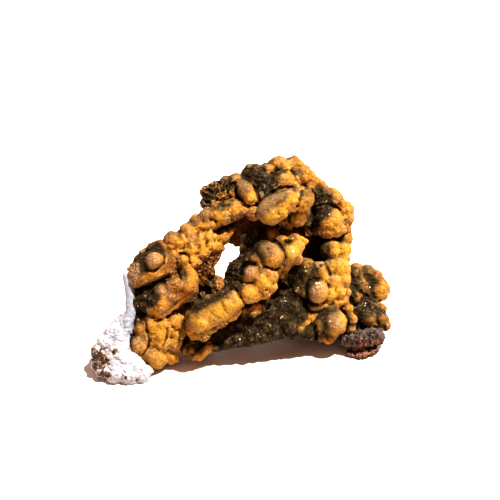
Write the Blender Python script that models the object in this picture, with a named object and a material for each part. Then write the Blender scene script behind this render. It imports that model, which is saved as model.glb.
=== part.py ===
"""Mottramite specimen: a branching, grape-like (botryoidal) mineral mass that stands on its lowest lumps.

The mass is laid out in millimetres on a plane that leans back from upright:
  across  to the right
  rise    up the leaning plane
  out     out of the plane, forwards and up
Every branch has a body of rounded slabs, each slab the skin around a few balls, and round lumps that
sit on the body's face. The lumps of the sides turned away from the plane are spread by a seeded rule.
Branches that have grown into each other are parted at the fork by a hairline gap.
"""

import math
import random

import bmesh
import bpy
from mathutils import Matrix, Vector
from mathutils.bvhtree import BVHTree

# Driving dimensions, in millimetres and degrees.
MM = 0.001
LAYOUT_LEAN = math.radians(35.0)
LAYOUT_FOOT = Vector((-0.33, -10.32, 0.0))  # where the plane's origin stands
FORK_GAP = 0.3  # hairline that parts two branches
LUMP_SINK = 0.35  # share of its radius that a lump's middle lies under the body's face
BODY_VOXEL = 0.7  # fineness of the bare body that the lumps are set on
SKIN_VOXEL = 0.4  # fineness of the fused surface
FACET_EDGE = 1.45  # typical edge of the finished facets
REACH = 80.0  # beyond the specimen in any direction
FLOOR_SIDE = 160.0
FLOOR_DEPTH = 20.0

RIGHT = Vector((1.0, 0.0, 0.0))
UP_PLANE = Vector((0.0, math.sin(LAYOUT_LEAN), math.cos(LAYOUT_LEAN)))
OUT_OF_PLANE = Vector((0.0, -math.cos(LAYOUT_LEAN), math.sin(LAYOUT_LEAN)))

# Bodies: slabs of balls (across, rise, out, radius).
BODIES = {
    "crown": [
        [(-6.3, 31.9, 0.8, 1.2), (-5.7, 33.6, 0.4, 1.4), (-4.2, 34.2, 0.2, 1.2), (-3.4, 32.6, 0.6, 1.3)],
        [(-2.0, 34.9, 0.0, 1.6), (-0.4, 35.4, 0.0, 1.5), (-1.4, 33.0, 0.2, 1.8), (1.0, 36.2, -0.8, 1.3),
         (-1.0, 33.6, -3.4, 1.8)],
        [(2.4, 37.3, -1.4, 1.5), (5.2, 36.4, -0.6, 2.0), (4.4, 34.4, 0.2, 2.0), (6.4, 38.0, -1.6, 1.5),
         (1.6, 35.6, -0.4, 1.6), (4.0, 35.0, -5.0, 2.4)],
        [(7.2, 36.0, 0.6, 1.6), (9.6, 36.6, 0.4, 1.4), (10.9, 34.8, 0.8, 1.3), (8.2, 33.4, 1.2, 1.8),
         (6.6, 34.2, 0.8, 1.4), (9.0, 35.0, -3.0, 2.4)],
        [(7.8, 39.2, -1.8, 1.5), (10.8, 39.1, -2.2, 1.5), (9.0, 37.4, -1.6, 2.2), (9.0, 37.0, -5.6, 2.6)],
        [(12.4, 36.8, -1.4, 1.9), (12.0, 35.4, -3.6, 2.2), (13.6, 34.6, -3.0, 2.0)],
        [(12.6, 35.6, -3.6, 2.2), (14.9, 34.4, -3.4, 1.9), (17.6, 32.4, -3.0, 2.3), (14.0, 31.6, -4.2, 2.0),
         (16.4, 29.6, -3.6, 2.2), (15.0, 32.4, -8.0, 2.6), (10.0, 34.0, -7.0, 2.8)],
        [(17.6, 27.8, -0.8, 3.0), (18.1, 27.4, -1.2, 2.9), (16.6, 27.6, -2.2, 2.2)],
        [(20.9, 29.6, -2.8, 1.8), (21.1, 27.0, -2.8, 1.4), (18.4, 28.0, -5.4, 2.4), (18.0, 31.0, -5.0, 2.4)],
        [(13.5, 29.8, -1.8, 0.9), (13.3, 27.6, -2.0, 1.1), (13.9, 25.8, -2.2, 0.8), (14.0, 28.6, -4.0, 1.6)],
        [(5.3, 29.5, 5.4, 2.1), (10.0, 31.9, 5.2, 2.15)],
        [(10.0, 31.9, 4.6, 2.1), (11.7, 32.1, 4.2, 2.1)],
        [(11.4, 28.4, 2.2, 1.4), (11.4, 30.0, 1.2, 1.4)],
        [(9.8, 27.2, 1.6, 0.7), (11.0, 28.6, 1.2, 1.0)],
        [(8.7, 28.4, 1.8, 0.5), (7.9, 26.9, 1.6, 0.35), (9.4, 29.6, 0.8, 1.2)],
        [(5.4, 31.2, 2.6, 1.8), (10.6, 31.4, 1.6, 2.4), (9.0, 33.2, -1.0, 2.8), (5.0, 34.0, -1.6, 2.4),
         (12.6, 32.6, -3.6, 2.4), (11.6, 29.2, -3.4, 2.0)],
        [(0.7, 34.6, 2.4, 1.45), (1.9, 32.3, 2.8, 1.6)],
        [(1.4, 33.4, 1.0, 1.4), (3.4, 34.0, 0.6, 1.4), (4.2, 31.9, 1.8, 0.9)],
        [(-1.3, 25.0, -4.2, 1.9), (0.6, 28.0, -3.4, 2.2), (4.0, 26.0, -5.4, 2.8), (2.6, 31.0, -2.4, 2.2),
         (7.0, 30.0, -3.4, 2.6)],
    ],
    "right_column": [
        [(18.4, 21.5, -1.6, 1.7), (20.2, 21.6, -1.8, 1.5), (20.8, 23.9, -3.0, 1.4), (17.4, 21.6, -2.6, 1.4),
         (18.6, 20.6, -4.6, 2.0)],
        [(19.3, 18.3, -0.4, 2.4), (19.0, 14.4, 0.2, 2.5), (17.6, 17.4, 0.2, 2.0), (19.0, 11.4, 0.4, 1.2),
         (17.6, 12.2, 1.0, 1.6), (18.6, 17.0, -5.0, 2.6)],
        [(21.0, 23.6, -3.0, 1.4), (21.4, 25.4, -3.8, 1.1), (20.0, 20.0, -1.6, 1.8)],
        [(17.4, 24.0, -7.0, 1.8), (20.4, 24.2, -5.4, 1.5), (17.6, 20.6, -5.6, 2.2)],
        [(13.2, 17.2, 1.2, 2.4), (15.4, 16.9, 1.2, 2.1), (11.4, 16.6, 0.4, 1.6), (13.0, 14.0, 0.8, 2.0),
         (14.0, 15.4, -3.4, 2.2), (16.4, 13.0, 0.8, 2.2)],
        [(15.5, 13.7, 3.0, 2.25), (15.6, 13.7, 1.4, 2.2)],
        [(14.9, 10.5, 2.0, 0.8), (17.2, 10.8, 1.8, 0.8), (15.6, 12.0, 1.4, 1.2), (14.0, 11.0, 0.4, 1.6)],
        [(18.7, 7.5, 1.7, 2.6), (17.8, 8.2, 0.6, 2.4), (17.0, 10.0, -0.4, 2.2)],
        [(16.6, 6.0, 0.0, 1.8), (18.4, 6.0, 0.2, 2.0), (17.6, 4.6, 0.4, 1.2), (19.4, 8.0, -2.4, 2.4),
         (16.6, 9.0, -2.4, 2.2)],
        [(20.5, 13.0, -1.6, 0.9), (21.2, 9.8, -1.0, 1.1), (22.0, 7.4, -0.6, 1.2), (22.0, 6.2, -0.6, 1.0),
         (19.4, 10.0, -2.0, 1.8)],
    ],
    "rear_column": [
        [(9.0, 29.6, -7.6, 3.2), (13.0, 27.0, -8.0, 3.2), (10.0, 21.6, -10.4, 3.8), (14.6, 22.0, -8.8, 3.2)],
        [(10.0, 20.0, -10.4, 3.8), (13.8, 18.0, -9.6, 3.4), (9.0, 15.4, -12.6, 3.2), (13.6, 15.4, -13.4, 3.2),
         (11.0, 18.6, -15.0, 3.4)],
        [(7.6, 12.6, -15.0, 2.4), (11.4, 12.0, -18.0, 2.6), (14.4, 12.8, -15.4, 2.2), (10.8, 16.6, -15.0, 3.2)],
        [(5.6, 20.0, -5.6, 2.2), (7.6, 15.0, -6.4, 2.4), (11.4, 19.0, -8.0, 3.2), (14.6, 19.4, -7.6, 2.8)],
        [(5.6, 20.0, -5.6, 2.2), (5.4, 23.0, -6.4, 2.0), (10.0, 24.6, -8.4, 2.8)],
    ],
    "middle_branch": [
        [(-8.4, 8.0, 7.4, 2.4), (-4.7, 9.9, 7.5, 2.6), (-1.5, 11.9, 7.6, 2.2)],
        [(-9.3, 4.7, 6.0, 0.7), (-6.0, 6.2, 6.0, 0.9), (-2.0, 8.7, 6.0, 0.9), (-0.4, 10.0, 6.0, 0.9),
         (-9.4, 6.4, 6.0, 1.0), (-2.6, 11.0, 6.0, 1.2)],
        [(1.6, 13.4, 7.2, 2.0), (0.4, 14.0, 6.4, 1.6), (-0.8, 14.4, 6.0, 1.0)],
        [(2.1, 17.4, 7.2, 1.7), (2.4, 16.8, 5.8, 1.5)],
        [(1.6, 14.0, 5.6, 1.8), (4.6, 15.2, 6.0, 1.9), (6.0, 16.4, 5.8, 1.6), (3.6, 17.6, 5.2, 1.8)],
        [(4.8, 14.6, 6.0, 1.5), (5.0, 14.0, 6.2, 1.1), (6.1, 14.0, 5.8, 0.8), (4.6, 13.0, 5.4, 0.6)],
        [(3.3, 20.1, 5.4, 1.5), (4.2, 18.7, 5.8, 1.2), (5.4, 18.6, 5.4, 1.4)],
        [(5.3, 21.5, 5.6, 2.3), (6.4, 20.6, 6.0, 2.35)],
        [(9.6, 21.1, 4.8, 2.0), (10.9, 20.9, 4.2, 1.3), (11.0, 23.4, 3.8, 1.2), (8.8, 23.6, 3.8, 1.2),
         (6.6, 20.4, 4.6, 2.0)],
        [(6.6, 18.8, 5.0, 1.0), (9.4, 19.2, 4.6, 1.0), (7.0, 20.4, 4.0, 2.0)],
        [(12.1, 24.0, 2.8, 0.9), (13.3, 23.6, 2.6, 0.5), (10.6, 23.0, 2.6, 1.4)],
        [(1.4, 24.4, 0.4, 1.2), (4.4, 24.2, 0.4, 1.5), (2.0, 22.4, 0.6, 1.6), (5.0, 21.0, 2.4, 2.0)],
        [(6.1, 25.1, 1.2, 1.0), (6.4, 23.8, 1.8, 1.1), (8.0, 22.4, 1.6, 1.8)],
        [(-1.2, 18.6, 1.4, 1.1), (-0.3, 17.8, 1.6, 1.4), (-2.2, 17.0, 1.4, 0.8), (0.8, 20.8, 0.4, 0.7)],
        [(-2.0, 16.4, 1.2, 1.0), (-2.8, 15.0, 1.4, 0.8), (0.0, 16.2, 1.2, 1.6)],
        [(-8.4, 10.2, 3.2, 1.1), (-4.4, 11.8, 2.2, 1.6), (0.6, 14.6, 2.2, 2.0), (-5.0, 9.2, 4.6, 1.6)],
        [(1.4, 16.0, 2.2, 2.0), (2.8, 20.6, 1.6, 2.0), (7.6, 20.6, 2.0, 2.2), (5.0, 16.2, 3.0, 1.8),
         (5.4, 18.6, -1.8, 1.8)],
    ],
    "left_arm": [
        [(-12.8, 23.4, 4.4, 1.5), (-9.6, 26.0, 3.6, 1.4), (-6.4, 26.8, 3.4, 1.4), (-5.6, 23.0, 3.8, 1.1),
         (-9.0, 19.8, 4.4, 1.5), (-11.6, 20.8, 4.6, 1.5)],
        [(-8.8, 26.8, 2.4, 1.7), (-6.6, 28.0, 2.8, 1.6), (-12.0, 23.6, 1.6, 1.6), (-7.4, 22.4, 1.0, 1.6)],
        [(-6.8, 28.2, 3.2, 1.4), (-4.6, 28.5, 3.4, 2.1), (-1.4, 30.0, 3.4, 1.9), (1.4, 30.1, 2.6, 1.0),
         (-3.0, 29.0, 1.0, 1.8)],
        [(1.4, 30.2, 2.4, 1.0), (-1.4, 31.2, 2.6, 1.2), (2.8, 29.6, 2.2, 0.5)],
        [(-5.2, 24.0, 3.2, 1.0), (-3.3, 24.4, 3.2, 0.9), (-1.2, 26.3, 2.0, 0.4), (-5.0, 22.4, 2.8, 1.1)],
        [(-5.4, 22.2, 2.8, 1.2), (-4.2, 22.6, 2.8, 1.0), (-6.8, 18.8, 3.0, 1.4), (-6.2, 17.4, 2.6, 0.8)],
        [(-8.2, 19.0, 3.2, 1.6), (-7.2, 16.6, 2.4, 1.1), (-8.8, 15.6, 1.6, 1.4)],
        [(-8.2, 16.6, 0.2, 1.2), (-5.6, 14.8, -1.8, 1.2), (-7.8, 12.4, -1.0, 1.4)],
        [(-4.1, 16.4, 1.2, 0.5), (-5.2, 14.6, 1.2, 0.6), (-5.4, 13.2, 0.4, 0.6), (-5.6, 14.6, -1.2, 0.7)],
        [(-9.4, 11.4, 1.8, 0.8), (-7.4, 13.0, 1.8, 0.8), (-8.2, 13.4, 1.2, 0.7), (-8.4, 12.6, -0.6, 1.0)],
    ],
    "left_leg": [
        [(-17.0, 0.6, 2.6, 2.3), (-16.4, 5.4, 4.4, 2.4), (-19.6, 3.2, 3.2, 1.9), (-19.3, 7.6, 3.6, 1.6),
         (-13.6, 1.2, 2.2, 1.3), (-13.2, 7.4, 4.0, 1.8)],
        [(-19.0, 11.8, 4.0, 2.0), (-16.4, 10.8, 5.8, 2.1), (-12.8, 14.2, 5.8, 2.1), (-10.6, 15.4, 5.0, 2.0),
         (-14.0, 15.4, 4.0, 1.6), (-18.4, 13.0, 3.0, 1.8)],
        [(-10.4, 15.0, 5.8, 2.0), (-10.5, 16.8, 5.2, 1.8)],
        [(-20.4, 16.8, 4.6, 1.8), (-17.2, 18.3, 5.8, 2.0), (-14.9, 19.3, 5.4, 2.0), (-15.2, 21.6, 4.2, 1.6),
         (-19.6, 18.6, 3.6, 1.6)],
        [(-16.8, 19.0, 1.8, 2.2), (-16.4, 12.0, 1.2, 2.6), (-16.4, 5.0, 1.4, 2.4), (-13.0, 17.0, 2.0, 2.0),
         (-12.8, 12.6, 2.0, 2.0)],
        [(-13.0, 10.0, 1.0, 1.8), (-11.4, 9.2, -0.4, 1.6), (-11.2, 5.0, 0.0, 1.5), (-13.0, 3.0, 1.4, 1.4)],
    ],
    "lower_crust": [
        [(-3.2, 3.0, 3.2, 1.0), (3.0, 4.2, 3.2, 1.1), (3.0, 7.4, 2.2, 1.4), (-1.0, 6.4, 2.2, 1.4)],
        [(3.0, 4.4, 3.2, 1.2), (10.4, 5.6, 2.2, 1.2), (10.4, 10.0, 1.6, 1.8), (4.0, 8.4, 2.2, 1.4)],
        [(7.4, 10.6, 1.2, 1.6), (9.2, 13.0, 0.4, 1.4), (11.6, 12.0, 0.4, 1.6), (12.0, 9.0, 1.4, 1.8)],
        [(10.4, 5.9, 2.0, 1.4), (14.0, 5.5, 0.9, 1.4), (13.6, 9.0, 1.2, 1.5), (12.0, 7.0, -1.6, 1.8)],
        [(-8.7, 0.9, 3.4, 0.8), (-6.3, 2.4, 3.4, 1.0), (-7.4, 1.8, 2.6, 1.0)],
        [(-9.9, 1.6, 2.0, 1.2), (-9.0, 3.2, 1.6, 1.4), (-4.4, 3.6, 2.2, 1.1), (-3.0, 5.2, 1.6, 1.4)],
        [(-5.8, 1.8, 3.0, 0.5), (-3.6, 2.3, 3.0, 0.4), (-4.0, 3.6, 2.6, 0.8)],
        [(-1.0, 6.0, 0.4, 1.5), (8.0, 8.0, -1.8, 2.0), (4.0, 5.4, 1.0, 1.4), (11.0, 10.0, -1.8, 1.8)],
        [(0.9, 10.0, 4.2, 0.7), (3.6, 10.5, 4.4, 0.8), (4.6, 9.6, 3.0, 1.1), (1.4, 9.0, 2.6, 0.9)],
    ],
    "back_lobe": [
        [(23.2, 16.2, -8.0, 2.3), (25.6, 16.5, -8.6, 2.2), (28.0, 14.3, -7.6, 2.1), (24.6, 12.6, -7.0, 2.4)],
        [(25.6, 10.8, -5.8, 2.0), (27.9, 10.0, -5.4, 1.4), (29.2, 7.6, -4.8, 1.3), (25.4, 7.8, -4.0, 1.9),
         (29.8, 6.6, -4.4, 0.8), (24.0, 12.0, -7.0, 2.2)],
        [(20.8, 14.0, -5.6, 2.2), (22.8, 10.6, -4.8, 2.2), (22.6, 16.0, -7.4, 2.0), (23.4, 8.4, -3.8, 1.4)],
        [(24.6, 12.6, -10.6, 2.4), (24.0, 15.0, -10.0, 2.4), (26.4, 8.4, -7.4, 2.0)],
    ],
    "matrix_base": [
        [(20.6, 3.9, -0.4, 0.8), (24.0, 4.0, 0.2, 1.2), (28.0, 4.4, -1.2, 1.2), (24.5, 4.6, -3.4, 1.6),
         (27.6, 5.2, -4.0, 1.4)],
        [(21.8, 1.5, -0.6, 0.5), (24.2, 1.1, 0.0, 0.6), (26.7, 1.8, -1.0, 0.7), (24.4, 2.6, -3.4, 1.0),
         (26.6, 3.2, -4.0, 0.9)],
        [(23.8, 3.6, -3.4, 1.3), (26.2, 4.0, -3.8, 1.2)],
    ],
    "quartz_foot": [
        [(-27.0, 0.6, 4.0, 2.6), (-24.0, -0.6, 5.2, 2.6), (-23.8, 4.8, 3.4, 2.4), (-26.0, 4.2, 3.0, 2.2),
         (-28.0, 1.2, 3.0, 1.8)],
        [(-27.2, -1.6, 5.0, 2.0), (-23.6, -2.4, 5.8, 1.9), (-19.4, -2.6, 5.8, 1.5), (-22.6, 1.0, 4.4, 2.0),
         (-18.4, -2.0, 5.2, 1.2)],
        [(-23.3, 16.4, 3.6, 0.6), (-22.5, 13.0, 3.4, 0.9)],
        [(-22.5, 13.0, 3.4, 0.9), (-22.1, 9.5, 3.4, 1.1)],
        [(-22.1, 9.5, 3.4, 1.1), (-23.0, 6.0, 3.4, 1.8)],
    ],
}

# Lumps on the face of each body: (across, rise, radius) or (across, rise, radius, lift out of the face).
LUMPS = {
    "crown": [
        (-6.9, 31.4, 0.8), (-6.7, 33.6, 0.9), (-5.0, 34.6, 0.9), (-3.7, 32.9, 1.0), (-2.7, 35.4, 1.1),
        (-4.4, 35.5, 0.5), (-5.2, 31.8, 0.9), (-0.8, 35.9, 1.1), (1.2, 37.3, 0.8), (1.9, 38.2, 0.9),
        (3.2, 38.3, 0.9), (3.0, 36.6, 1.2), (5.7, 38.3, 0.9), (2.6, 35.4, 0.9), (4.6, 36.0, 1.3),
        (5.2, 33.9, 1.3), (3.8, 32.9, 0.9), (5.6, 35.4, 1.0), (8.6, 35.6, 1.8), (10.2, 35.2, 1.4),
        (7.2, 34.4, 1.3), (7.7, 39.3, 1.3), (6.9, 39.5, 0.9), (9.1, 38.7, 1.2), (10.8, 39.9, 1.0),
        (11.2, 38.9, 1.2), (12.3, 37.0, 1.7), (14.0, 36.3, 0.9), (15.0, 35.4, 1.0), (13.6, 34.8, 0.9),
        (15.0, 33.2, 1.2), (17.0, 33.1, 1.3), (18.5, 32.2, 1.6), (15.5, 31.5, 1.2), (19.2, 30.8, 1.2),
        (16.9, 30.6, 1.2), (21.0, 30.0, 1.4), (21.3, 28.4, 1.2), (21.0, 26.4, 1.0), (15.6, 25.9, 0.8),
        (16.6, 25.6, 0.9), (17.7, 25.5, 0.9), (19.0, 25.7, 0.9), (20.0, 26.1, 0.9), (13.6, 27.4, 0.9),
        (13.8, 25.8, 0.8), (9.8, 26.9, 0.7), (11.6, 28.2, 1.2),
    ],
    "right_column": [
        (18.3, 21.8, 1.7), (21.0, 24.4, 1.2), (21.4, 25.4, 0.8), (20.6, 22.0, 1.2), (21.1, 20.5, 0.8),
        (20.1, 18.2, 1.5), (20.6, 16.0, 1.2), (19.8, 13.6, 1.0), (19.3, 11.4, 0.8), (18.0, 18.4, 1.3),
        (18.8, 15.6, 1.3), (18.0, 13.2, 1.0), (13.0, 18.4, 1.5), (15.6, 17.8, 1.4), (11.2, 17.0, 1.2),
        (12.0, 15.0, 1.1), (16.6, 16.4, 1.1), (10.6, 15.6, 0.8), (17.8, 4.2, 0.8), (16.0, 4.5, 0.8),
        (16.4, 7.6, 1.3), (21.2, 13.6, 0.8), (20.6, 11.8, 0.7), (21.4, 10.2, 0.9), (22.2, 8.0, 1.0),
        (22.2, 6.2, 0.8),
    ],
    "middle_branch": [
        (-7.0, 8.0, 1.6), (-9.2, 8.2, 1.4), (-2.3, 11.5, 1.7), (-4.6, 10.2, 1.5), (-0.6, 12.4, 1.3),
        (6.0, 16.8, 1.2), (6.4, 14.6, 0.8), (4.4, 15.6, 1.4), (11.2, 22.6, 1.2), (11.2, 20.3, 0.9),
        (8.3, 23.6, 1.0), (10.8, 24.0, 1.0), (9.8, 21.4, 1.5), (2.4, 24.7, 1.2), (1.2, 24.4, 0.9),
    ],
    "left_arm": [
        (-13.2, 23.7, 1.5), (-11.2, 23.8, 1.4), (-11.3, 20.0, 1.1, 0.8), (-9.4, 22.0, 1.2), (-8.0, 23.8, 1.3),
        (-10.0, 25.2, 1.3), (-7.4, 21.6, 1.2), (-6.4, 24.6, 1.3), (-5.4, 22.9, 1.1), (-9.2, 19.8, 1.2),
        (-3.2, 24.4, 0.9), (-4.1, 22.4, 0.8), (-8.9, 27.9, 0.9), (-6.6, 28.7, 1.2), (-7.8, 26.8, 1.1),
        (-10.6, 26.0, 1.0), (-6.0, 26.9, 1.2), (-4.6, 30.4, 0.9), (-3.4, 28.9, 1.4), (-2.4, 30.8, 0.9),
        (-1.2, 29.9, 1.3), (-1.3, 32.2, 0.7), (0.4, 29.8, 0.9), (-15.0, 24.6, 0.6), (-8.6, 18.0, 1.0),
    ],
    "left_leg": [
        (-21.3, 17.8, 1.0), (-21.2, 16.2, 1.1), (-16.9, 19.9, 1.75, 0.5), (-16.8, 22.4, 1.2), (-15.0, 22.2, 1.1),
        (-13.8, 21.6, 1.4), (-13.5, 19.4, 1.5), (-19.5, 20.0, 1.0), (-20.6, 19.2, 0.9), (-22.4, 18.0, 0.6),
        (-18.6, 21.4, 0.8), (-19.4, 17.2, 1.2), (-17.4, 17.6, 1.2), (-15.0, 18.0, 1.2), (-19.8, 11.6, 1.2),
        (-18.2, 12.8, 1.2), (-12.9, 14.7, 1.4), (-15.0, 13.2, 1.3), (-16.0, 11.0, 1.4), (-14.0, 12.0, 1.2),
        (-10.4, 17.2, 1.4), (-10.2, 15.0, 1.6), (-17.4, 7.3, 1.5), (-20.0, 8.3, 0.9), (-19.7, 6.2, 1.1),
        (-15.0, 7.0, 1.3), (-12.9, 7.8, 1.4), (-12.9, 9.4, 0.8), (-20.0, 3.0, 1.8), (-17.0, 0.9, 2.0),
        (-13.3, 3.6, 1.3), (-13.6, 0.8, 1.2), (-12.6, 5.2, 1.1), (-15.4, 3.6, 1.3),
    ],
    "lower_crust": [
        (-9.2, 0.7, 0.6), (-8.0, 0.9, 0.7), (-6.2, 2.7, 0.8), (-2.6, 3.4, 0.8), (-0.4, 4.0, 1.0), (1.9, 5.6, 1.0),
        (2.0, 3.8, 0.8), (4.2, 5.0, 1.0), (0.4, 7.2, 1.0), (3.2, 7.6, 1.1), (5.4, 6.6, 1.1), (7.0, 5.4, 0.9),
        (8.6, 8.2, 1.1), (9.8, 6.8, 1.5), (6.2, 9.2, 1.1), (8.4, 11.0, 1.1), (10.8, 10.2, 1.1), (12.0, 5.6, 0.8),
        (8.6, 13.2, 0.9), (10.6, 13.2, 1.0),
    ],
    "back_lobe": [
        (23.4, 16.9, 1.7), (25.7, 17.1, 1.4), (24.2, 14.4, 1.5), (28.2, 14.0, 1.8), (27.4, 16.4, 1.2),
        (23.4, 12.7, 1.2, 1.0), (26.6, 10.8, 1.0), (28.8, 10.2, 0.8), (25.5, 8.2, 1.4), (28.4, 8.0, 1.1),
        (29.8, 6.8, 0.8), (22.2, 10.6, 0.9),
    ],
    "matrix_base": [(22.4, 4.2, 0.7), (24.4, 4.6, 0.9), (26.6, 5.0, 1.0), (28.0, 4.6, 0.8)],
    "quartz_foot": [
        (-28.4, 1.8, 1.2), (-26.6, 3.6, 1.4), (-25.0, 5.4, 1.4), (-28.4, -0.6, 1.2), (-27.0, -1.8, 1.3),
        (-24.6, -2.6, 1.5), (-22.0, -3.2, 1.3), (-19.4, -3.2, 1.1), (-24.8, 1.2, 1.4),
    ],
}

# Long low swellings on the face: balls (across, rise, radius) joined in one.
SWELLS = {
    "lower_crust": [[(14.6, 8.8, 0.9), (11.6, 5.9, 0.8)]],
    "left_leg": [[(-16.6, 9.4, 0.6), (-13.6, 10.6, 0.6), (-10.8, 12.9, 0.6)]],
}

# Earlier branches that a branch has grown against, and is parted from.
GROWN_AGAINST = {
    "right_column": ["crown"],
    "rear_column": ["crown", "right_column"],
    "middle_branch": ["crown", "right_column", "rear_column"],
    "left_arm": ["crown", "middle_branch"],
    "left_leg": ["left_arm", "middle_branch"],
    "lower_crust": ["middle_branch", "right_column", "rear_column", "left_leg"],
    "back_lobe": ["right_column", "rear_column"],
    "matrix_base": ["back_lobe", "right_column", "lower_crust"],
    "quartz_foot": ["left_leg"],
}

# Lumps spread over the sides turned away: (smallest radius, largest radius).
FAR_LUMPS = {
    "crown": (1.2, 2.2), "right_column": (1.0, 2.0), "rear_column": (1.2, 2.4), "middle_branch": (0.9, 1.7),
    "left_arm": (0.9, 1.6), "left_leg": (1.0, 2.0), "lower_crust": (0.9, 1.6), "back_lobe": (1.1, 2.0),
    "matrix_base": (0.6, 1.0), "quartz_foot": (0.8, 1.5),
}
FAR_TRIES = 700
FAR_FACING = 0.3  # a face is turned away when it leans out of the plane by less than this

COLOURS = {
    "ochre": (0.62, 0.33, 0.06, 0.55),
    "rust": (0.20, 0.09, 0.05, 0.85),
    "white": (0.86, 0.85, 0.84, 0.6),
}
FINISH = {"matrix_base": "rust", "quartz_foot": "white"}


def place(across, rise, out):
    """A point of the leaning plane, in the specimen's frame, in millimetres."""
    return LAYOUT_FOOT + RIGHT * across + UP_PLANE * rise + OUT_OF_PLANE * out


def add_slab(bm, balls, fineness):
    """Adds the rounded skin around a few balls, each (middle, radius) in millimetres."""
    for middle, radius in balls:
        bmesh.ops.create_icosphere(
            bm, subdivisions=fineness, radius=radius * MM, matrix=Matrix.Translation(middle * MM)
        )
    if len(balls) > 1:
        hull = bmesh.ops.convex_hull(bm, input=list(bm.verts))
        inside = hull["geom_interior"] + hull["geom_unused"]
        verts = {item for item in inside if isinstance(item, bmesh.types.BMVert)}
        bmesh.ops.delete(bm, geom=list(verts), context="VERTS")


def fused(name, slabs, voxel, grow=0.0, fineness=2):
    """One closed surface around all the slabs, each grown by a little."""
    mesh = bpy.data.meshes.new(name)
    whole = bmesh.new()
    for balls in slabs:
        bm = bmesh.new()
        add_slab(bm, [(middle, radius + grow) for middle, radius in balls], fineness)
        bm.to_mesh(mesh)
        bm.free()
        whole.from_mesh(mesh)
    whole.to_mesh(mesh)
    whole.free()
    body = bpy.data.objects.new(name, mesh)
    bpy.context.scene.collection.objects.link(body)
    remesh = body.modifiers.new("fuse", "REMESH")
    remesh.mode = "VOXEL"
    remesh.voxel_size = voxel * MM
    settle(body)
    return body


def settle(body):
    """Applies a body's modifiers."""
    bpy.context.view_layer.update()
    graph = bpy.context.evaluated_depsgraph_get()
    mesh = bpy.data.meshes.new_from_object(body.evaluated_get(graph))
    body.modifiers.clear()
    body.data = mesh


def body_slabs(name):
    """A branch's slabs, with their balls placed in the specimen's frame."""
    return [[(place(*ball[:3]), ball[3]) for ball in slab] for slab in BODIES[name]]


def on_face(tree, across, rise, radius, lift=0.0):
    """A lump sunk a little into the body's face, or beside its nearest edge."""
    start = place(across, rise, REACH) * MM
    hit = tree.ray_cast(start, -OUT_OF_PLANE)[0]
    if hit is None:
        middle = place(across, rise, 0.0)
        near = tree.find_nearest(middle * MM)[0]
        for _ in range(6):
            middle = place(across, rise, (near / MM - LAYOUT_FOOT).dot(OUT_OF_PLANE))
            near = tree.find_nearest(middle * MM)[0]
        return middle, radius
    return hit / MM + OUT_OF_PLANE * (lift - LUMP_SINK * radius), radius


def front_slabs(name, tree):
    """The listed lumps and swellings of a branch."""
    single = [[on_face(tree, *lump)] for lump in LUMPS.get(name, [])]
    long = [[on_face(tree, *ball) for ball in swell] for swell in SWELLS.get(name, [])]
    return single + long


def far_slabs(name, body, front):
    """Lumps spread over the faces turned away from the plane, clear of each other's middles."""
    smallest, largest = FAR_LUMPS[name]
    draw = random.Random(name)
    faces = body.data.polygons
    taken = [ball for slab in front for ball in slab]
    made = []
    for _ in range(FAR_TRIES):
        face = faces[draw.randrange(len(faces))]
        radius = draw.uniform(smallest, largest)
        facing = face.normal.dot(OUT_OF_PLANE)
        sink = LUMP_SINK if facing < -FAR_FACING else 2.0 * LUMP_SINK
        middle = face.center / MM - face.normal * radius * sink
        crowded = any((middle - spot).length < 0.8 * (radius + size) for spot, size in taken)
        if facing < FAR_FACING and not crowded and middle.z > 0.6 * radius:
            taken.append((middle, radius))
            made.append([(middle, radius)])
    return made


def branch_slabs(name):
    """Everything a branch is fused from: its body, its listed lumps and those of its far side."""
    body = fused(f"{name}_body", body_slabs(name), BODY_VOXEL)
    bm = bmesh.new()
    bm.from_mesh(body.data)
    tree = BVHTree.FromBMesh(bm)
    bm.free()
    front = front_slabs(name, tree)
    slabs = body_slabs(name) + front + far_slabs(name, body, front)
    bpy.data.objects.remove(body)
    return slabs


def facet(body, edge=FACET_EDGE):
    """Reduces the fused surface to facets of the usual edge."""
    bm = bmesh.new()
    bm.from_mesh(body.data)
    area = sum(face.calc_area() for face in bm.faces) / MM**2
    triangles = sum(len(face.verts) - 2 for face in bm.faces)
    bm.free()
    reduce = body.modifiers.new("facets", "DECIMATE")
    reduce.ratio = min(1.0, area / (math.sqrt(3) / 4 * edge**2) / triangles)
    reduce.use_collapse_triangulate = True
    settle(body)


def part_from(body, neighbour):
    """Cuts a neighbour's shape out of a body."""
    cut = body.modifiers.new("fork", "BOOLEAN")
    cut.operation = "DIFFERENCE"
    cut.solver = "EXACT"
    cut.object = neighbour
    settle(body)


def keep_largest(body):
    """Drops the crumbs that a cut leaves beside the main body."""
    bm = bmesh.new()
    bm.from_mesh(body.data)
    left, groups = set(bm.verts), []
    while left:
        queue = [left.pop()]
        group = []
        while queue:
            vert = queue.pop()
            group.append(vert)
            near = [edge.other_vert(vert) for edge in vert.link_edges]
            fresh = [other for other in near if other in left]
            left.difference_update(fresh)
            queue += fresh
        groups.append(group)
    groups.sort(key=len)
    for group in groups[:-1]:
        bmesh.ops.delete(bm, geom=group, context="VERTS")
    bm.to_mesh(body.data)
    bm.free()


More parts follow.
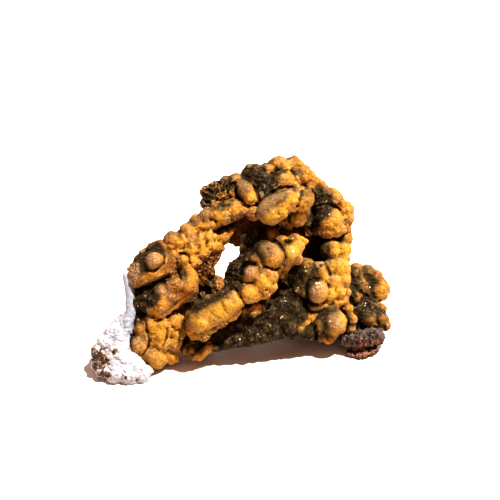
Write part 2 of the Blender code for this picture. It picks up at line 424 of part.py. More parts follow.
def floor_cutter():
    """A slab under the resting plane, which gives the lowest lumps their small flats."""
    size = Matrix.Diagonal((FLOOR_SIDE * MM, FLOOR_SIDE * MM, FLOOR_DEPTH * MM, 1.0))
    bm = bmesh.new()
    bmesh.ops.create_cube(bm, size=1.0, matrix=Matrix.Translation((0.0, 0.0, -FLOOR_DEPTH * MM / 2)) @ size)
    mesh = bpy.data.meshes.new("floor_cutter")
    bm.to_mesh(mesh)
    bm.free()
    body = bpy.data.objects.new("floor_cutter", mesh)
    bpy.context.scene.collection.objects.link(body)
    body.hide_render = True
    body.display_type = "WIRE"
    return body


def material(name):
    """A plain mineral finish."""
    red, green, blue, roughness = COLOURS[name]
    made = bpy.data.materials.get(name) or bpy.data.materials.new(name)
    made.use_nodes = True
    shader = made.node_tree.nodes["Principled BSDF"]
    shader.inputs["Base Color"].default_value = (red, green, blue, 1.0)
    shader.inputs["Roughness"].default_value = roughness
    return made


def build():
    """Builds every branch in turn, each parted from those it has grown against."""
    for old in list(bpy.data.objects):
        bpy.data.objects.remove(old)
    floor = floor_cutter()
    slabs = {}
    for name in BODIES:
        slabs[name] = branch_slabs(name)
        body = fused(name, slabs[name], SKIN_VOXEL)
        facet(body)
        for other in GROWN_AGAINST.get(name, []):
            cutter = fused(f"{other}_cutter", slabs[other], SKIN_VOXEL, grow=FORK_GAP)
            facet(cutter)
            part_from(body, cutter)
            bpy.data.objects.remove(cutter)
        part_from(body, floor)
        keep_largest(body)
        body.data.materials.clear()
        body.data.materials.append(material(FINISH.get(name, "ochre")))


if __name__ == "__main__":
    build()
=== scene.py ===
"""Dresses a mottramite specimen: a branching, grape-like mineral mass on a foot of frosty quartz."""
import functools
import itertools
import math
import random

import bmesh
import bpy
import numpy as np
from mathutils import Matrix, Vector, noise
from mathutils.bvhtree import BVHTree
from mathutils.kdtree import KDTree


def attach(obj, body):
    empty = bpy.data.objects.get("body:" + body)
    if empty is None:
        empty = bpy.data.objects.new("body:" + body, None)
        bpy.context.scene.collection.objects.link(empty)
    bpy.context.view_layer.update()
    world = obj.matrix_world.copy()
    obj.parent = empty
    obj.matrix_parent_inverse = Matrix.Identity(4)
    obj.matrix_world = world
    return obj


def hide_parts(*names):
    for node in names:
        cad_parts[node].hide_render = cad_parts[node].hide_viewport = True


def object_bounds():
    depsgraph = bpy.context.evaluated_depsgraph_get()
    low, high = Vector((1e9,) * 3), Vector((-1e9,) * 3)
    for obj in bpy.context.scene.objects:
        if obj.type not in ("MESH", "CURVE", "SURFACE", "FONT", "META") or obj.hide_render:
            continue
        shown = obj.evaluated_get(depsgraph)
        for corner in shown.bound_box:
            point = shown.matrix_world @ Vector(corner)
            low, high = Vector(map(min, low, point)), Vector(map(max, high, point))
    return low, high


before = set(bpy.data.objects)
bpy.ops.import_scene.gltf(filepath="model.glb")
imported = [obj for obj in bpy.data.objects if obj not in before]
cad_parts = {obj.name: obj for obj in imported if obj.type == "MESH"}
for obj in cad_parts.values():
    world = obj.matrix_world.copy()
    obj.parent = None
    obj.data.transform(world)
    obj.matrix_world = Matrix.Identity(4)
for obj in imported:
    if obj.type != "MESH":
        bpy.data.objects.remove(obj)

bl_info = {
    "name": "Mottramite specimen",
    "version": (1, 0, 0),
    "blender": (4, 5, 0),
    "location": "View3D > Sidebar > Mottramite",
    "description": "Grows the lumpy skin of a mottramite specimen around its solid branches",
    "category": "Add Mesh",
}

CAD_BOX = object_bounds()

# The leaning plane that the specimen is laid out on, in millimetres.
MM = 0.001
LAYOUT_LEAN = math.radians(35.0)
LAYOUT_FOOT = Vector((-0.33, -10.32, 0.0))
RIGHT = Vector((1.0, 0.0, 0.0))
UP_PLANE = Vector((0.0, math.sin(LAYOUT_LEAN), math.cos(LAYOUT_LEAN)))
OUT_OF_PLANE = Vector((0.0, -math.cos(LAYOUT_LEAN), math.sin(LAYOUT_LEAN)))
LUMP_SINK = 0.35  # share of its radius that a lump's middle lies under the body's face
BROADEN = 1.45  # how much wider than its solid a lump is, with its tip as high
EDGE_ROUNDS = 6  # tries to bring a lump beside the body as far out as its nearest edge
BODY_VOXEL = 0.7  # fineness of the bare body that the lumps are set on
REACH = 80.0  # beyond the specimen in any direction

# Bodies: slabs of balls (across, rise, out, radius).
BODIES = {
    "crown": [
        [(-6.3, 31.9, 0.8, 1.2), (-5.7, 33.6, 0.4, 1.4), (-4.2, 34.2, 0.2, 1.2), (-3.4, 32.6, 0.6, 1.3)],
        [(-2.0, 34.9, 0.0, 1.6), (-0.4, 35.4, 0.0, 1.5), (-1.4, 33.0, 0.2, 1.8), (1.0, 36.2, -0.8, 1.3),
         (-1.0, 33.6, -3.4, 1.8)],
        [(2.4, 37.3, -1.4, 1.5), (5.2, 36.4, -0.6, 2.0), (4.4, 34.4, 0.2, 2.0), (6.4, 38.0, -1.6, 1.5),
         (1.6, 35.6, -0.4, 1.6), (4.0, 35.0, -5.0, 2.4)],
        [(7.2, 36.0, 0.6, 1.6), (9.6, 36.6, 0.4, 1.4), (10.9, 34.8, 0.8, 1.3), (8.2, 33.4, 1.2, 1.8),
         (6.6, 34.2, 0.8, 1.4), (9.0, 35.0, -3.0, 2.4)],
        [(7.8, 39.2, -1.8, 1.5), (10.8, 39.1, -2.2, 1.5), (9.0, 37.4, -1.6, 2.2), (9.0, 37.0, -5.6, 2.6)],
        [(12.4, 36.8, -1.4, 1.9), (12.0, 35.4, -3.6, 2.2), (13.6, 34.6, -3.0, 2.0)],
        [(12.6, 35.6, -3.6, 2.2), (14.9, 34.4, -3.4, 1.9), (17.6, 32.4, -3.0, 2.3),
         (14.0, 31.6, -4.2, 2.0), (16.4, 29.6, -3.6, 2.2), (15.0, 32.4, -8.0, 2.6),
         (10.0, 34.0, -7.0, 2.8)],
        [(17.6, 27.8, -0.8, 3.0), (18.1, 27.4, -1.2, 2.9), (16.6, 27.6, -2.2, 2.2)],
        [(20.9, 29.6, -2.8, 1.8), (21.1, 27.0, -2.8, 1.4), (18.4, 28.0, -5.4, 2.4),
         (18.0, 31.0, -5.0, 2.4)],
        [(13.5, 29.8, -1.8, 0.9), (13.3, 27.6, -2.0, 1.1), (13.9, 25.8, -2.2, 0.8),
         (14.0, 28.6, -4.0, 1.6)], [(5.3, 29.5, 5.4, 2.1), (10.0, 31.9, 5.2, 2.15)],
        [(10.0, 31.9, 4.6, 2.1), (11.7, 32.1, 4.2, 2.1)], [(11.4, 28.4, 2.2, 1.4), (11.4, 30.0, 1.2, 1.4)],
        [(9.8, 27.2, 1.6, 0.7), (11.0, 28.6, 1.2, 1.0)],
        [(8.7, 28.4, 1.8, 0.5), (7.9, 26.9, 1.6, 0.35), (9.4, 29.6, 0.8, 1.2)],
        [(5.4, 31.2, 2.6, 1.8), (10.6, 31.4, 1.6, 2.4), (9.0, 33.2, -1.0, 2.8), (5.0, 34.0, -1.6, 2.4),
         (12.6, 32.6, -3.6, 2.4), (11.6, 29.2, -3.4, 2.0)], [(0.7, 34.6, 2.4, 1.45), (1.9, 32.3, 2.8, 1.6)],
        [(1.4, 33.4, 1.0, 1.4), (3.4, 34.0, 0.6, 1.4), (4.2, 31.9, 1.8, 0.9)],
        [(-1.3, 25.0, -4.2, 1.9), (0.6, 28.0, -3.4, 2.2), (4.0, 26.0, -5.4, 2.8),
         (2.6, 31.0, -2.4, 2.2), (7.0, 30.0, -3.4, 2.6)],
    ],
    "right_column": [
        [(18.4, 21.5, -1.6, 1.7), (20.2, 21.6, -1.8, 1.5), (20.8, 23.9, -3.0, 1.4),
         (17.4, 21.6, -2.6, 1.4), (18.6, 20.6, -4.6, 2.0)],
        [(19.3, 18.3, -0.4, 2.4), (19.0, 14.4, 0.2, 2.5), (17.6, 17.4, 0.2, 2.0),
         (19.0, 11.4, 0.4, 1.2), (17.6, 12.2, 1.0, 1.6), (18.6, 17.0, -5.0, 2.6)],
        [(21.0, 23.6, -3.0, 1.4), (21.4, 25.4, -3.8, 1.1), (20.0, 20.0, -1.6, 1.8)],
        [(17.4, 24.0, -7.0, 1.8), (20.4, 24.2, -5.4, 1.5), (17.6, 20.6, -5.6, 2.2)],
        [(13.2, 17.2, 1.2, 2.4), (15.4, 16.9, 1.2, 2.1), (11.4, 16.6, 0.4, 1.6), (13.0, 14.0, 0.8, 2.0),
         (14.0, 15.4, -3.4, 2.2), (16.4, 13.0, 0.8, 2.2)],
        [(15.5, 13.7, 3.0, 2.25), (15.6, 13.7, 1.4, 2.2)],
        [(14.9, 10.5, 2.0, 0.8), (17.2, 10.8, 1.8, 0.8), (15.6, 12.0, 1.4, 1.2), (14.0, 11.0, 0.4, 1.6)],
        [(18.7, 7.5, 1.7, 2.6), (17.8, 8.2, 0.6, 2.4), (17.0, 10.0, -0.4, 2.2)],
        [(16.6, 6.0, 0.0, 1.8), (18.4, 6.0, 0.2, 2.0), (17.6, 4.6, 0.4, 1.2), (19.4, 8.0, -2.4, 2.4),
         (16.6, 9.0, -2.4, 2.2)],
        [(20.5, 13.0, -1.6, 0.9), (21.2, 9.8, -1.0, 1.1), (22.0, 7.4, -0.6, 1.2),
         (22.0, 6.2, -0.6, 1.0), (19.4, 10.0, -2.0, 1.8)],
    ],
    "rear_column": [
        [(9.0, 29.6, -7.6, 3.2), (13.0, 27.0, -8.0, 3.2), (10.0, 21.6, -10.4, 3.8),
         (14.6, 22.0, -8.8, 3.2)],
        [(10.0, 20.0, -10.4, 3.8), (13.8, 18.0, -9.6, 3.4), (9.0, 15.4, -12.6, 3.2),
         (13.6, 15.4, -13.4, 3.2), (11.0, 18.6, -15.0, 3.4)],
        [(7.6, 12.6, -15.0, 2.4), (11.4, 12.0, -18.0, 2.6), (14.4, 12.8, -15.4, 2.2),
         (10.8, 16.6, -15.0, 3.2)],
        [(5.6, 20.0, -5.6, 2.2), (7.6, 15.0, -6.4, 2.4), (11.4, 19.0, -8.0, 3.2), (14.6, 19.4, -7.6, 2.8)],
        [(5.6, 20.0, -5.6, 2.2), (5.4, 23.0, -6.4, 2.0), (10.0, 24.6, -8.4, 2.8)],
    ],
    "middle_branch": [
        [(-8.4, 8.0, 7.4, 2.4), (-4.7, 9.9, 7.5, 2.6), (-1.5, 11.9, 7.6, 2.2)],
        [(-9.3, 4.7, 6.0, 0.7), (-6.0, 6.2, 6.0, 0.9), (-2.0, 8.7, 6.0, 0.9), (-0.4, 10.0, 6.0, 0.9),
         (-9.4, 6.4, 6.0, 1.0), (-2.6, 11.0, 6.0, 1.2)],
        [(1.6, 13.4, 7.2, 2.0), (0.4, 14.0, 6.4, 1.6), (-0.8, 14.4, 6.0, 1.0)],
        [(2.1, 17.4, 7.2, 1.7), (2.4, 16.8, 5.8, 1.5)],
        [(1.6, 14.0, 5.6, 1.8), (4.6, 15.2, 6.0, 1.9), (6.0, 16.4, 5.8, 1.6), (3.6, 17.6, 5.2, 1.8)],
        [(4.8, 14.6, 6.0, 1.5), (5.0, 14.0, 6.2, 1.1), (6.1, 14.0, 5.8, 0.8), (4.6, 13.0, 5.4, 0.6)],
        [(3.3, 20.1, 5.4, 1.5), (4.2, 18.7, 5.8, 1.2), (5.4, 18.6, 5.4, 1.4)],
        [(5.3, 21.5, 5.6, 2.3), (6.4, 20.6, 6.0, 2.35)],
        [(9.6, 21.1, 4.8, 2.0), (10.9, 20.9, 4.2, 1.3), (11.0, 23.4, 3.8, 1.2), (8.8, 23.6, 3.8, 1.2),
         (6.6, 20.4, 4.6, 2.0)], [(6.6, 18.8, 5.0, 1.0), (9.4, 19.2, 4.6, 1.0), (7.0, 20.4, 4.0, 2.0)],
        [(12.1, 24.0, 2.8, 0.9), (13.3, 23.6, 2.6, 0.5), (10.6, 23.0, 2.6, 1.4)],
        [(1.4, 24.4, 0.4, 1.2), (4.4, 24.2, 0.4, 1.5), (2.0, 22.4, 0.6, 1.6), (5.0, 21.0, 2.4, 2.0)],
        [(6.1, 25.1, 1.2, 1.0), (6.4, 23.8, 1.8, 1.1), (8.0, 22.4, 1.6, 1.8)],
        [(-1.2, 18.6, 1.4, 1.1), (-0.3, 17.8, 1.6, 1.4), (-2.2, 17.0, 1.4, 0.8), (0.8, 20.8, 0.4, 0.7)],
        [(-2.0, 16.4, 1.2, 1.0), (-2.8, 15.0, 1.4, 0.8), (0.0, 16.2, 1.2, 1.6)],
        [(-8.4, 10.2, 3.2, 1.1), (-4.4, 11.8, 2.2, 1.6), (0.6, 14.6, 2.2, 2.0), (-5.0, 9.2, 4.6, 1.6)],
        [(1.4, 16.0, 2.2, 2.0), (2.8, 20.6, 1.6, 2.0), (7.6, 20.6, 2.0, 2.2), (5.0, 16.2, 3.0, 1.8),
         (5.4, 18.6, -1.8, 1.8)],
    ],
    "left_arm": [
        [(-12.8, 23.4, 4.4, 1.5), (-9.6, 26.0, 3.6, 1.4), (-6.4, 26.8, 3.4, 1.4),
         (-5.6, 23.0, 3.8, 1.1), (-9.0, 19.8, 4.4, 1.5), (-11.6, 20.8, 4.6, 1.5)],
        [(-8.8, 26.8, 2.4, 1.7), (-6.6, 28.0, 2.8, 1.6), (-12.0, 23.6, 1.6, 1.6), (-7.4, 22.4, 1.0, 1.6)],
        [(-6.8, 28.2, 3.2, 1.4), (-4.6, 28.5, 3.4, 2.1), (-1.4, 30.0, 3.4, 1.9), (1.4, 30.1, 2.6, 1.0),
         (-3.0, 29.0, 1.0, 1.8)], [(1.4, 30.2, 2.4, 1.0), (-1.4, 31.2, 2.6, 1.2), (2.8, 29.6, 2.2, 0.5)],
        [(-5.2, 24.0, 3.2, 1.0), (-3.3, 24.4, 3.2, 0.9), (-1.2, 26.3, 2.0, 0.4), (-5.0, 22.4, 2.8, 1.1)],
        [(-5.4, 22.2, 2.8, 1.2), (-4.2, 22.6, 2.8, 1.0), (-6.8, 18.8, 3.0, 1.4), (-6.2, 17.4, 2.6, 0.8)],
        [(-8.2, 19.0, 3.2, 1.6), (-7.2, 16.6, 2.4, 1.1), (-8.8, 15.6, 1.6, 1.4)],
        [(-8.2, 16.6, 0.2, 1.2), (-5.6, 14.8, -1.8, 1.2), (-7.8, 12.4, -1.0, 1.4)],
        [(-4.3, 15.8, 1.2, 0.3), (-5.2, 14.6, 1.2, 0.5), (-5.4, 13.2, 0.4, 0.6), (-5.6, 14.6, -1.2, 0.7)],
        [(-9.4, 11.4, 1.8, 0.8), (-7.4, 13.0, 1.8, 0.8), (-8.2, 13.4, 1.2, 0.7), (-8.4, 12.6, -0.6, 1.0)],
        [(-5.8, 24.8, 1.0, 1.1), (-4.6, 27.4, 1.0, 1.2), (-2.6, 26.8, 0.4, 0.9), (-4.0, 25.0, 0.6, 0.8)],
    ],
    "left_leg": [
        [(-17.0, 0.6, 2.6, 2.3), (-16.4, 5.4, 4.4, 2.4), (-19.6, 3.2, 3.2, 1.9), (-19.3, 7.6, 3.6, 1.6),
         (-13.6, 1.2, 2.2, 1.3), (-13.2, 7.4, 4.0, 1.8)],
        [(-19.0, 11.8, 4.0, 2.0), (-16.4, 10.8, 5.8, 2.1), (-12.8, 14.2, 5.8, 2.1),
         (-10.6, 15.4, 5.0, 2.0), (-14.0, 15.4, 4.0, 1.6), (-18.4, 13.0, 3.0, 1.8)],
        [(-10.4, 15.0, 5.8, 2.0), (-10.5, 16.8, 5.2, 1.8)],
        [(-20.4, 16.8, 4.6, 1.8), (-17.2, 18.3, 5.8, 2.0), (-14.9, 19.3, 5.4, 2.0),
         (-15.2, 21.6, 4.2, 1.6), (-19.6, 18.6, 3.6, 1.6)],
        [(-16.8, 19.0, 1.8, 2.2), (-16.4, 12.0, 1.2, 2.6), (-16.4, 5.0, 1.4, 2.4),
         (-13.0, 17.0, 2.0, 2.0), (-12.8, 12.6, 2.0, 2.0)],
        [(-13.0, 10.0, 1.0, 1.8), (-11.4, 9.2, -0.4, 1.6), (-11.2, 5.0, 0.0, 1.5), (-13.0, 3.0, 1.4, 1.4)],
        [(-20.4, 14.4, 2.4, 0.9), (-20.4, 9.0, 2.4, 0.9), (-20.2, 5.0, 2.2, 0.9), (-18.6, 12.0, 1.6, 1.4)],
    ],
    "lower_crust": [
        [(-3.2, 3.0, 3.2, 1.0), (3.0, 4.2, 3.2, 1.1), (3.0, 7.4, 2.2, 1.4), (-1.0, 6.4, 2.2, 1.4)],
        [(3.0, 4.4, 3.2, 1.2), (10.4, 5.6, 2.2, 1.2), (10.4, 10.0, 1.6, 1.8), (4.0, 8.4, 2.2, 1.4)],
        [(7.4, 10.6, 1.2, 1.6), (9.2, 13.0, 0.4, 1.4), (11.6, 12.0, 0.4, 1.6), (12.0, 9.0, 1.4, 1.8)],
        [(10.4, 5.9, 2.0, 1.4), (14.0, 5.5, 0.9, 1.4), (13.6, 9.0, 1.2, 1.5), (12.0, 7.0, -1.6, 1.8)],
        [(-8.7, 0.9, 3.4, 0.8), (-6.3, 2.4, 3.4, 1.0), (-7.4, 1.8, 2.6, 1.0)],
        [(-9.9, 1.6, 2.0, 1.2), (-9.0, 3.2, 1.6, 1.4), (-4.4, 3.6, 2.2, 1.1), (-3.0, 5.2, 1.6, 1.4)],
        [(-5.8, 1.8, 3.0, 0.5), (-3.6, 2.3, 3.0, 0.4), (-4.0, 3.6, 2.6, 0.8)],
        [(-1.0, 6.0, 0.4, 1.5), (8.0, 8.0, -1.8, 2.0), (4.0, 5.4, 1.0, 1.4), (11.0, 10.0, -1.8, 1.8)],
        [(0.9, 10.0, 4.2, 0.7), (3.6, 10.5, 4.4, 0.8), (4.6, 9.6, 3.0, 1.1), (1.4, 9.0, 2.6, 0.9)],
        [(-7.6, 4.6, 1.2, 1.2), (-2.6, 7.6, 0.8, 1.4), (3.0, 11.2, 0.2, 1.5), (-3.4, 4.8, 0.8, 1.2)],
        [(3.0, 11.2, 0.2, 1.5), (7.0, 14.4, -0.8, 1.5), (8.8, 13.0, -0.8, 1.4), (4.0, 9.0, 0.0, 1.4)],
    ],
    "back_lobe": [
        [(23.2, 16.2, -8.0, 2.3), (25.6, 16.5, -8.6, 2.2), (28.0, 14.3, -7.6, 2.1),
         (24.6, 12.6, -7.0, 2.4)],
        [(25.6, 10.8, -5.8, 2.0), (27.9, 10.0, -5.4, 1.4), (29.2, 7.6, -4.8, 1.3),
         (25.4, 7.8, -4.0, 1.9), (29.8, 6.6, -4.4, 0.8), (24.0, 12.0, -7.0, 2.2)],
        [(20.8, 14.0, -5.6, 2.2), (22.8, 10.6, -4.8, 2.2), (22.6, 16.0, -7.4, 2.0), (23.4, 8.4, -3.8, 1.4)],
        [(24.6, 12.6, -10.6, 2.4), (24.0, 15.0, -10.0, 2.4), (26.4, 8.4, -7.4, 2.0)],
    ],
    "matrix_base": [
        [(20.6, 3.9, -0.4, 0.8), (24.0, 4.0, 0.2, 1.2), (28.0, 4.4, -1.2, 1.2), (24.5, 4.6, -3.4, 1.6),
         (27.6, 5.2, -4.0, 1.4)],
        [(21.8, 1.5, -0.6, 0.5), (24.2, 1.1, 0.0, 0.6), (26.7, 1.8, -1.0, 0.7), (24.4, 2.6, -3.4, 1.0),
         (26.6, 3.2, -4.0, 0.9)], [(23.8, 3.6, -3.4, 1.3), (26.2, 4.0, -3.8, 1.2)],
    ],
    "quartz_foot": [
        [(-27.0, 0.6, 4.0, 2.6), (-24.0, -0.6, 5.2, 2.6), (-23.8, 4.8, 3.4, 2.4),
         (-26.0, 4.2, 3.0, 2.2), (-28.0, 1.2, 3.0, 1.8)],
        [(-27.2, -1.6, 5.0, 2.0), (-23.6, -2.4, 5.8, 1.9), (-19.4, -2.6, 5.8, 1.5),
         (-22.6, 1.0, 4.4, 2.0), (-18.4, -2.0, 5.2, 1.2)],
        [(-22.5, 16.8, 4.3, 0.85), (-22.1, 14.8, 4.3, 0.95), (-21.8, 13.0, 4.2, 1.0)],
        [(-21.8, 13.0, 4.2, 1.0), (-21.6, 9.5, 4.0, 1.15)],
        [(-21.6, 9.5, 4.0, 1.15), (-22.8, 6.0, 3.6, 1.8)],
        [(-25.8, 6.2, 2.8, 1.1), (-23.4, 8.4, 3.4, 1.0), (-22.2, 8.8, 3.8, 1.1), (-23.0, 6.0, 3.4, 1.6)],
        [(-22.2, 16.2, 3.4, 0.8), (-21.5, 14.0, 3.4, 0.9), (-21.4, 11.0, 3.4, 0.9),
         (-21.4, 8.0, 3.4, 1.0), (-21.8, 12.0, 3.2, 0.9)],
    ],
}

# Lumps on the face of each body: (across, rise, radius) or (across, rise, radius, lift out of the face).
LUMPS = {
    "crown": [
        (-6.9, 31.4, 0.8), (-6.7, 33.6, 0.9), (-5.0, 34.6, 0.9), (-3.7, 32.9, 1.0), (-2.7, 35.4, 1.1),
        (-4.4, 35.5, 0.5), (-5.2, 31.8, 0.9), (-0.8, 35.9, 1.1), (1.2, 37.3, 0.8), (1.9, 38.2, 0.9),
        (3.2, 38.3, 0.9), (3.0, 36.6, 1.2), (5.7, 38.3, 0.9), (2.6, 35.4, 0.9), (4.6, 36.0, 1.3),
        (5.2, 33.9, 1.3), (3.8, 32.9, 0.9), (5.6, 35.4, 1.0), (8.6, 35.6, 1.8), (10.2, 35.2, 1.4),
        (7.2, 34.4, 1.3), (7.7, 39.3, 1.3), (6.9, 39.5, 0.9), (9.1, 38.7, 1.2), (10.8, 39.9, 1.0),
        (11.2, 38.9, 1.2), (12.3, 37.0, 1.7), (14.0, 36.3, 0.9), (15.0, 35.4, 1.0), (13.6, 34.8, 0.9),
        (15.0, 33.2, 1.2), (17.0, 33.1, 1.3), (18.5, 32.2, 1.6), (15.5, 31.5, 1.2), (19.2, 30.8, 1.2),
        (16.9, 30.6, 1.2), (21.0, 30.0, 1.4), (21.3, 28.4, 1.2), (21.0, 26.4, 1.0), (15.6, 25.9, 0.8),
        (16.6, 25.6, 0.9), (17.7, 25.5, 0.9), (19.0, 25.7, 0.9), (20.0, 26.1, 0.9), (13.6, 27.4, 0.9),
        (13.8, 25.8, 0.8), (9.8, 26.9, 0.7), (11.6, 28.2, 1.2),
    ],
    "right_column": [
        (18.3, 21.8, 1.7), (21.0, 24.4, 1.2), (21.4, 25.4, 0.8), (20.6, 22.0, 1.2), (21.1, 20.5, 0.8),
        (20.1, 18.2, 1.5), (20.6, 16.0, 1.2), (19.8, 13.6, 1.0), (19.3, 11.4, 0.8), (18.0, 18.4, 1.3),
        (18.8, 15.6, 1.3), (18.0, 13.2, 1.0), (13.0, 18.4, 1.5), (15.6, 17.8, 1.4), (11.2, 17.0, 1.2),
        (12.0, 15.0, 1.1), (16.6, 16.4, 1.1), (10.6, 15.6, 0.8), (17.8, 4.2, 0.8), (16.0, 4.5, 0.8),
        (16.4, 7.6, 1.3), (21.2, 13.6, 0.8), (20.6, 11.8, 0.7), (21.4, 10.2, 0.9), (22.2, 8.0, 1.0),
        (22.2, 6.2, 0.8),
    ],
    "middle_branch": [
        (-7.6, 7.6, 1.1), (-2.4, 11.2, 1.0), (6.0, 16.8, 1.2), (6.4, 14.6, 0.8), (4.4, 15.6, 1.4),
        (11.2, 22.6, 1.2), (11.2, 20.3, 0.9), (8.3, 23.6, 1.0), (10.8, 24.0, 1.0), (9.8, 21.4, 1.5),
        (2.4, 24.7, 1.2), (1.2, 24.4, 0.9),
    ],
    "left_arm": [
        (-13.2, 23.7, 1.5), (-11.2, 23.8, 1.4), (-11.3, 20.0, 1.1, 0.8), (-9.4, 22.0, 1.2),
        (-8.0, 23.8, 1.3), (-10.0, 25.2, 1.3), (-7.4, 21.6, 1.2), (-6.4, 24.6, 1.3), (-5.4, 22.9, 1.1),
        (-9.2, 19.8, 1.2), (-3.2, 24.4, 0.9), (-4.1, 22.4, 0.8), (-8.9, 27.9, 0.9), (-6.6, 28.7, 1.2),
        (-7.8, 26.8, 1.1), (-10.6, 26.0, 1.0), (-6.0, 26.9, 1.2), (-4.6, 30.4, 0.9), (-3.4, 28.9, 1.4),
        (-2.4, 30.8, 0.9), (-1.2, 29.9, 1.3), (-1.3, 32.2, 0.7), (0.4, 29.8, 0.9), (-14.4, 24.2, 0.8),
        (-8.6, 18.0, 1.0), (-5.6, 29.9, 0.7, 0.2), (-4.3, 31.0, 0.6, 0.2), (-3.1, 31.4, 0.6, 0.2),
        (-5.0, 28.9, 0.9, 0.2), (-2.3, 29.3, 0.9, 0.2), (-0.2, 30.7, 0.7, 0.2), (-3.6, 30.0, 0.8, 0.2),
        (-2.2, 31.6, 0.7, 0.2), (-7.9, 24.9, 0.8, 0.2), (-9.9, 23.4, 0.8, 0.2), (-6.2, 23.0, 0.8, 0.2),
    ],
    "left_leg": [
        (-16.9, 19.9, 1.75, 0.8), (-19.6, 21.2, 0.8), (-20.6, 20.2, 0.6), (-18.9, 21.9, 0.6),
        (-21.3, 18.7, 0.6, 0.2), (-21.6, 17.6, 0.6, 0.2), (-20.8, 16.7, 0.6, 0.2), (-21.4, 15.8, 0.6, 0.2),
        (-20.4, 18.9, 0.45, 0.2), (-20.3, 17.7, 0.5, 0.2), (-22.2, 18.1, 0.5), (-20.5, 15.4, 0.6),
        (-21.0, 19.6, 0.4, 0.1), (-15.7, 13.6, 1.25), (-12.9, 14.9, 1.35), (-15.4, 11.3, 1.4),
        (-13.4, 12.6, 1.0), (-17.4, 15.0, 0.7), (-20.0, 13.4, 0.7), (-18.8, 12.6, 0.7), (-20.3, 11.8, 0.7),
        (-19.0, 11.0, 0.7), (-20.1, 10.2, 0.6), (-18.5, 13.8, 0.6), (-17.7, 12.3, 0.6), (-18.0, 10.4, 0.6),
        (-17.4, 7.3, 1.5), (-20.0, 8.3, 0.8), (-19.7, 6.2, 1.1), (-15.0, 7.0, 1.3), (-12.9, 7.8, 1.4),
        (-12.9, 9.4, 0.8), (-20.0, 3.0, 1.8), (-17.0, 0.9, 2.0), (-13.3, 3.6, 1.3), (-13.6, 0.8, 1.2),
        (-12.6, 5.2, 1.1), (-15.4, 3.6, 1.3),
    ],
    "lower_crust": [
        (-9.2, 0.7, 0.6), (-8.0, 0.9, 0.7), (-6.2, 2.7, 0.8), (-2.6, 3.4, 0.8), (-0.4, 4.0, 1.0),
        (1.9, 5.6, 1.0), (2.0, 3.8, 0.8), (4.2, 5.0, 1.0), (0.4, 7.2, 1.0), (3.2, 7.6, 1.1),
        (5.4, 6.6, 1.1), (7.0, 5.4, 0.9), (8.6, 8.2, 1.1), (9.8, 6.8, 1.5), (6.2, 9.2, 1.1),
        (8.4, 11.0, 1.1), (10.8, 10.2, 1.1), (12.0, 5.6, 0.8), (8.6, 13.2, 0.9), (10.6, 13.2, 1.0),
    ],
    "back_lobe": [
        (23.4, 16.9, 1.7), (25.7, 17.1, 1.4), (24.2, 14.4, 1.5), (28.2, 14.0, 1.8), (27.4, 16.4, 1.2),
        (23.4, 12.7, 1.2, 1.0), (26.6, 10.8, 1.0), (28.8, 10.2, 0.8), (25.5, 8.2, 1.4), (28.4, 8.0, 1.1),
        (29.8, 6.8, 0.8), (22.2, 10.6, 0.9),
    ],
    "matrix_base": [(22.4, 4.2, 0.7), (24.4, 4.6, 0.9), (26.6, 5.0, 1.0), (28.0, 4.6, 0.8)],
    "quartz_foot": [
        (-28.4, 1.8, 1.2), (-26.6, 3.6, 1.4), (-25.0, 5.4, 1.4), (-28.4, -0.6, 1.2), (-27.0, -1.8, 1.3),
        (-24.6, -2.6, 1.5), (-22.0, -3.2, 1.3), (-19.4, -3.2, 1.1), (-24.8, 1.2, 1.4),
    ],
}

# Long swellings on the face: chains of balls (across, rise, radius), each joined to the next.
SWELLS = {
    "lower_crust": [[(14.6, 8.8, 0.9), (11.6, 5.9, 0.8)]],
    "left_leg": [
        [(-14.9, 22.6, 1.1), (-13.7, 21.4, 1.2), (-13.3, 19.6, 1.3), (-14.3, 17.9, 1.2),
         (-16.6, 17.0, 1.1), (-18.6, 16.5, 1.0), (-20.4, 15.7, 0.9)],
        [(-17.6, 22.6, 0.9), (-15.9, 22.9, 0.85)],
        [(-12.0, 18.1, 0.9), (-10.5, 18.2, 1.0), (-9.6, 16.4, 1.1), (-9.8, 14.3, 1.2),
         (-11.3, 12.9, 1.0), (-13.2, 11.4, 0.9), (-15.6, 9.6, 0.8)],
        [(-16.6, 8.9, 0.45), (-13.8, 10.1, 0.45), (-11.4, 11.7, 0.45), (-9.3, 13.4, 0.45)],
    ],
}

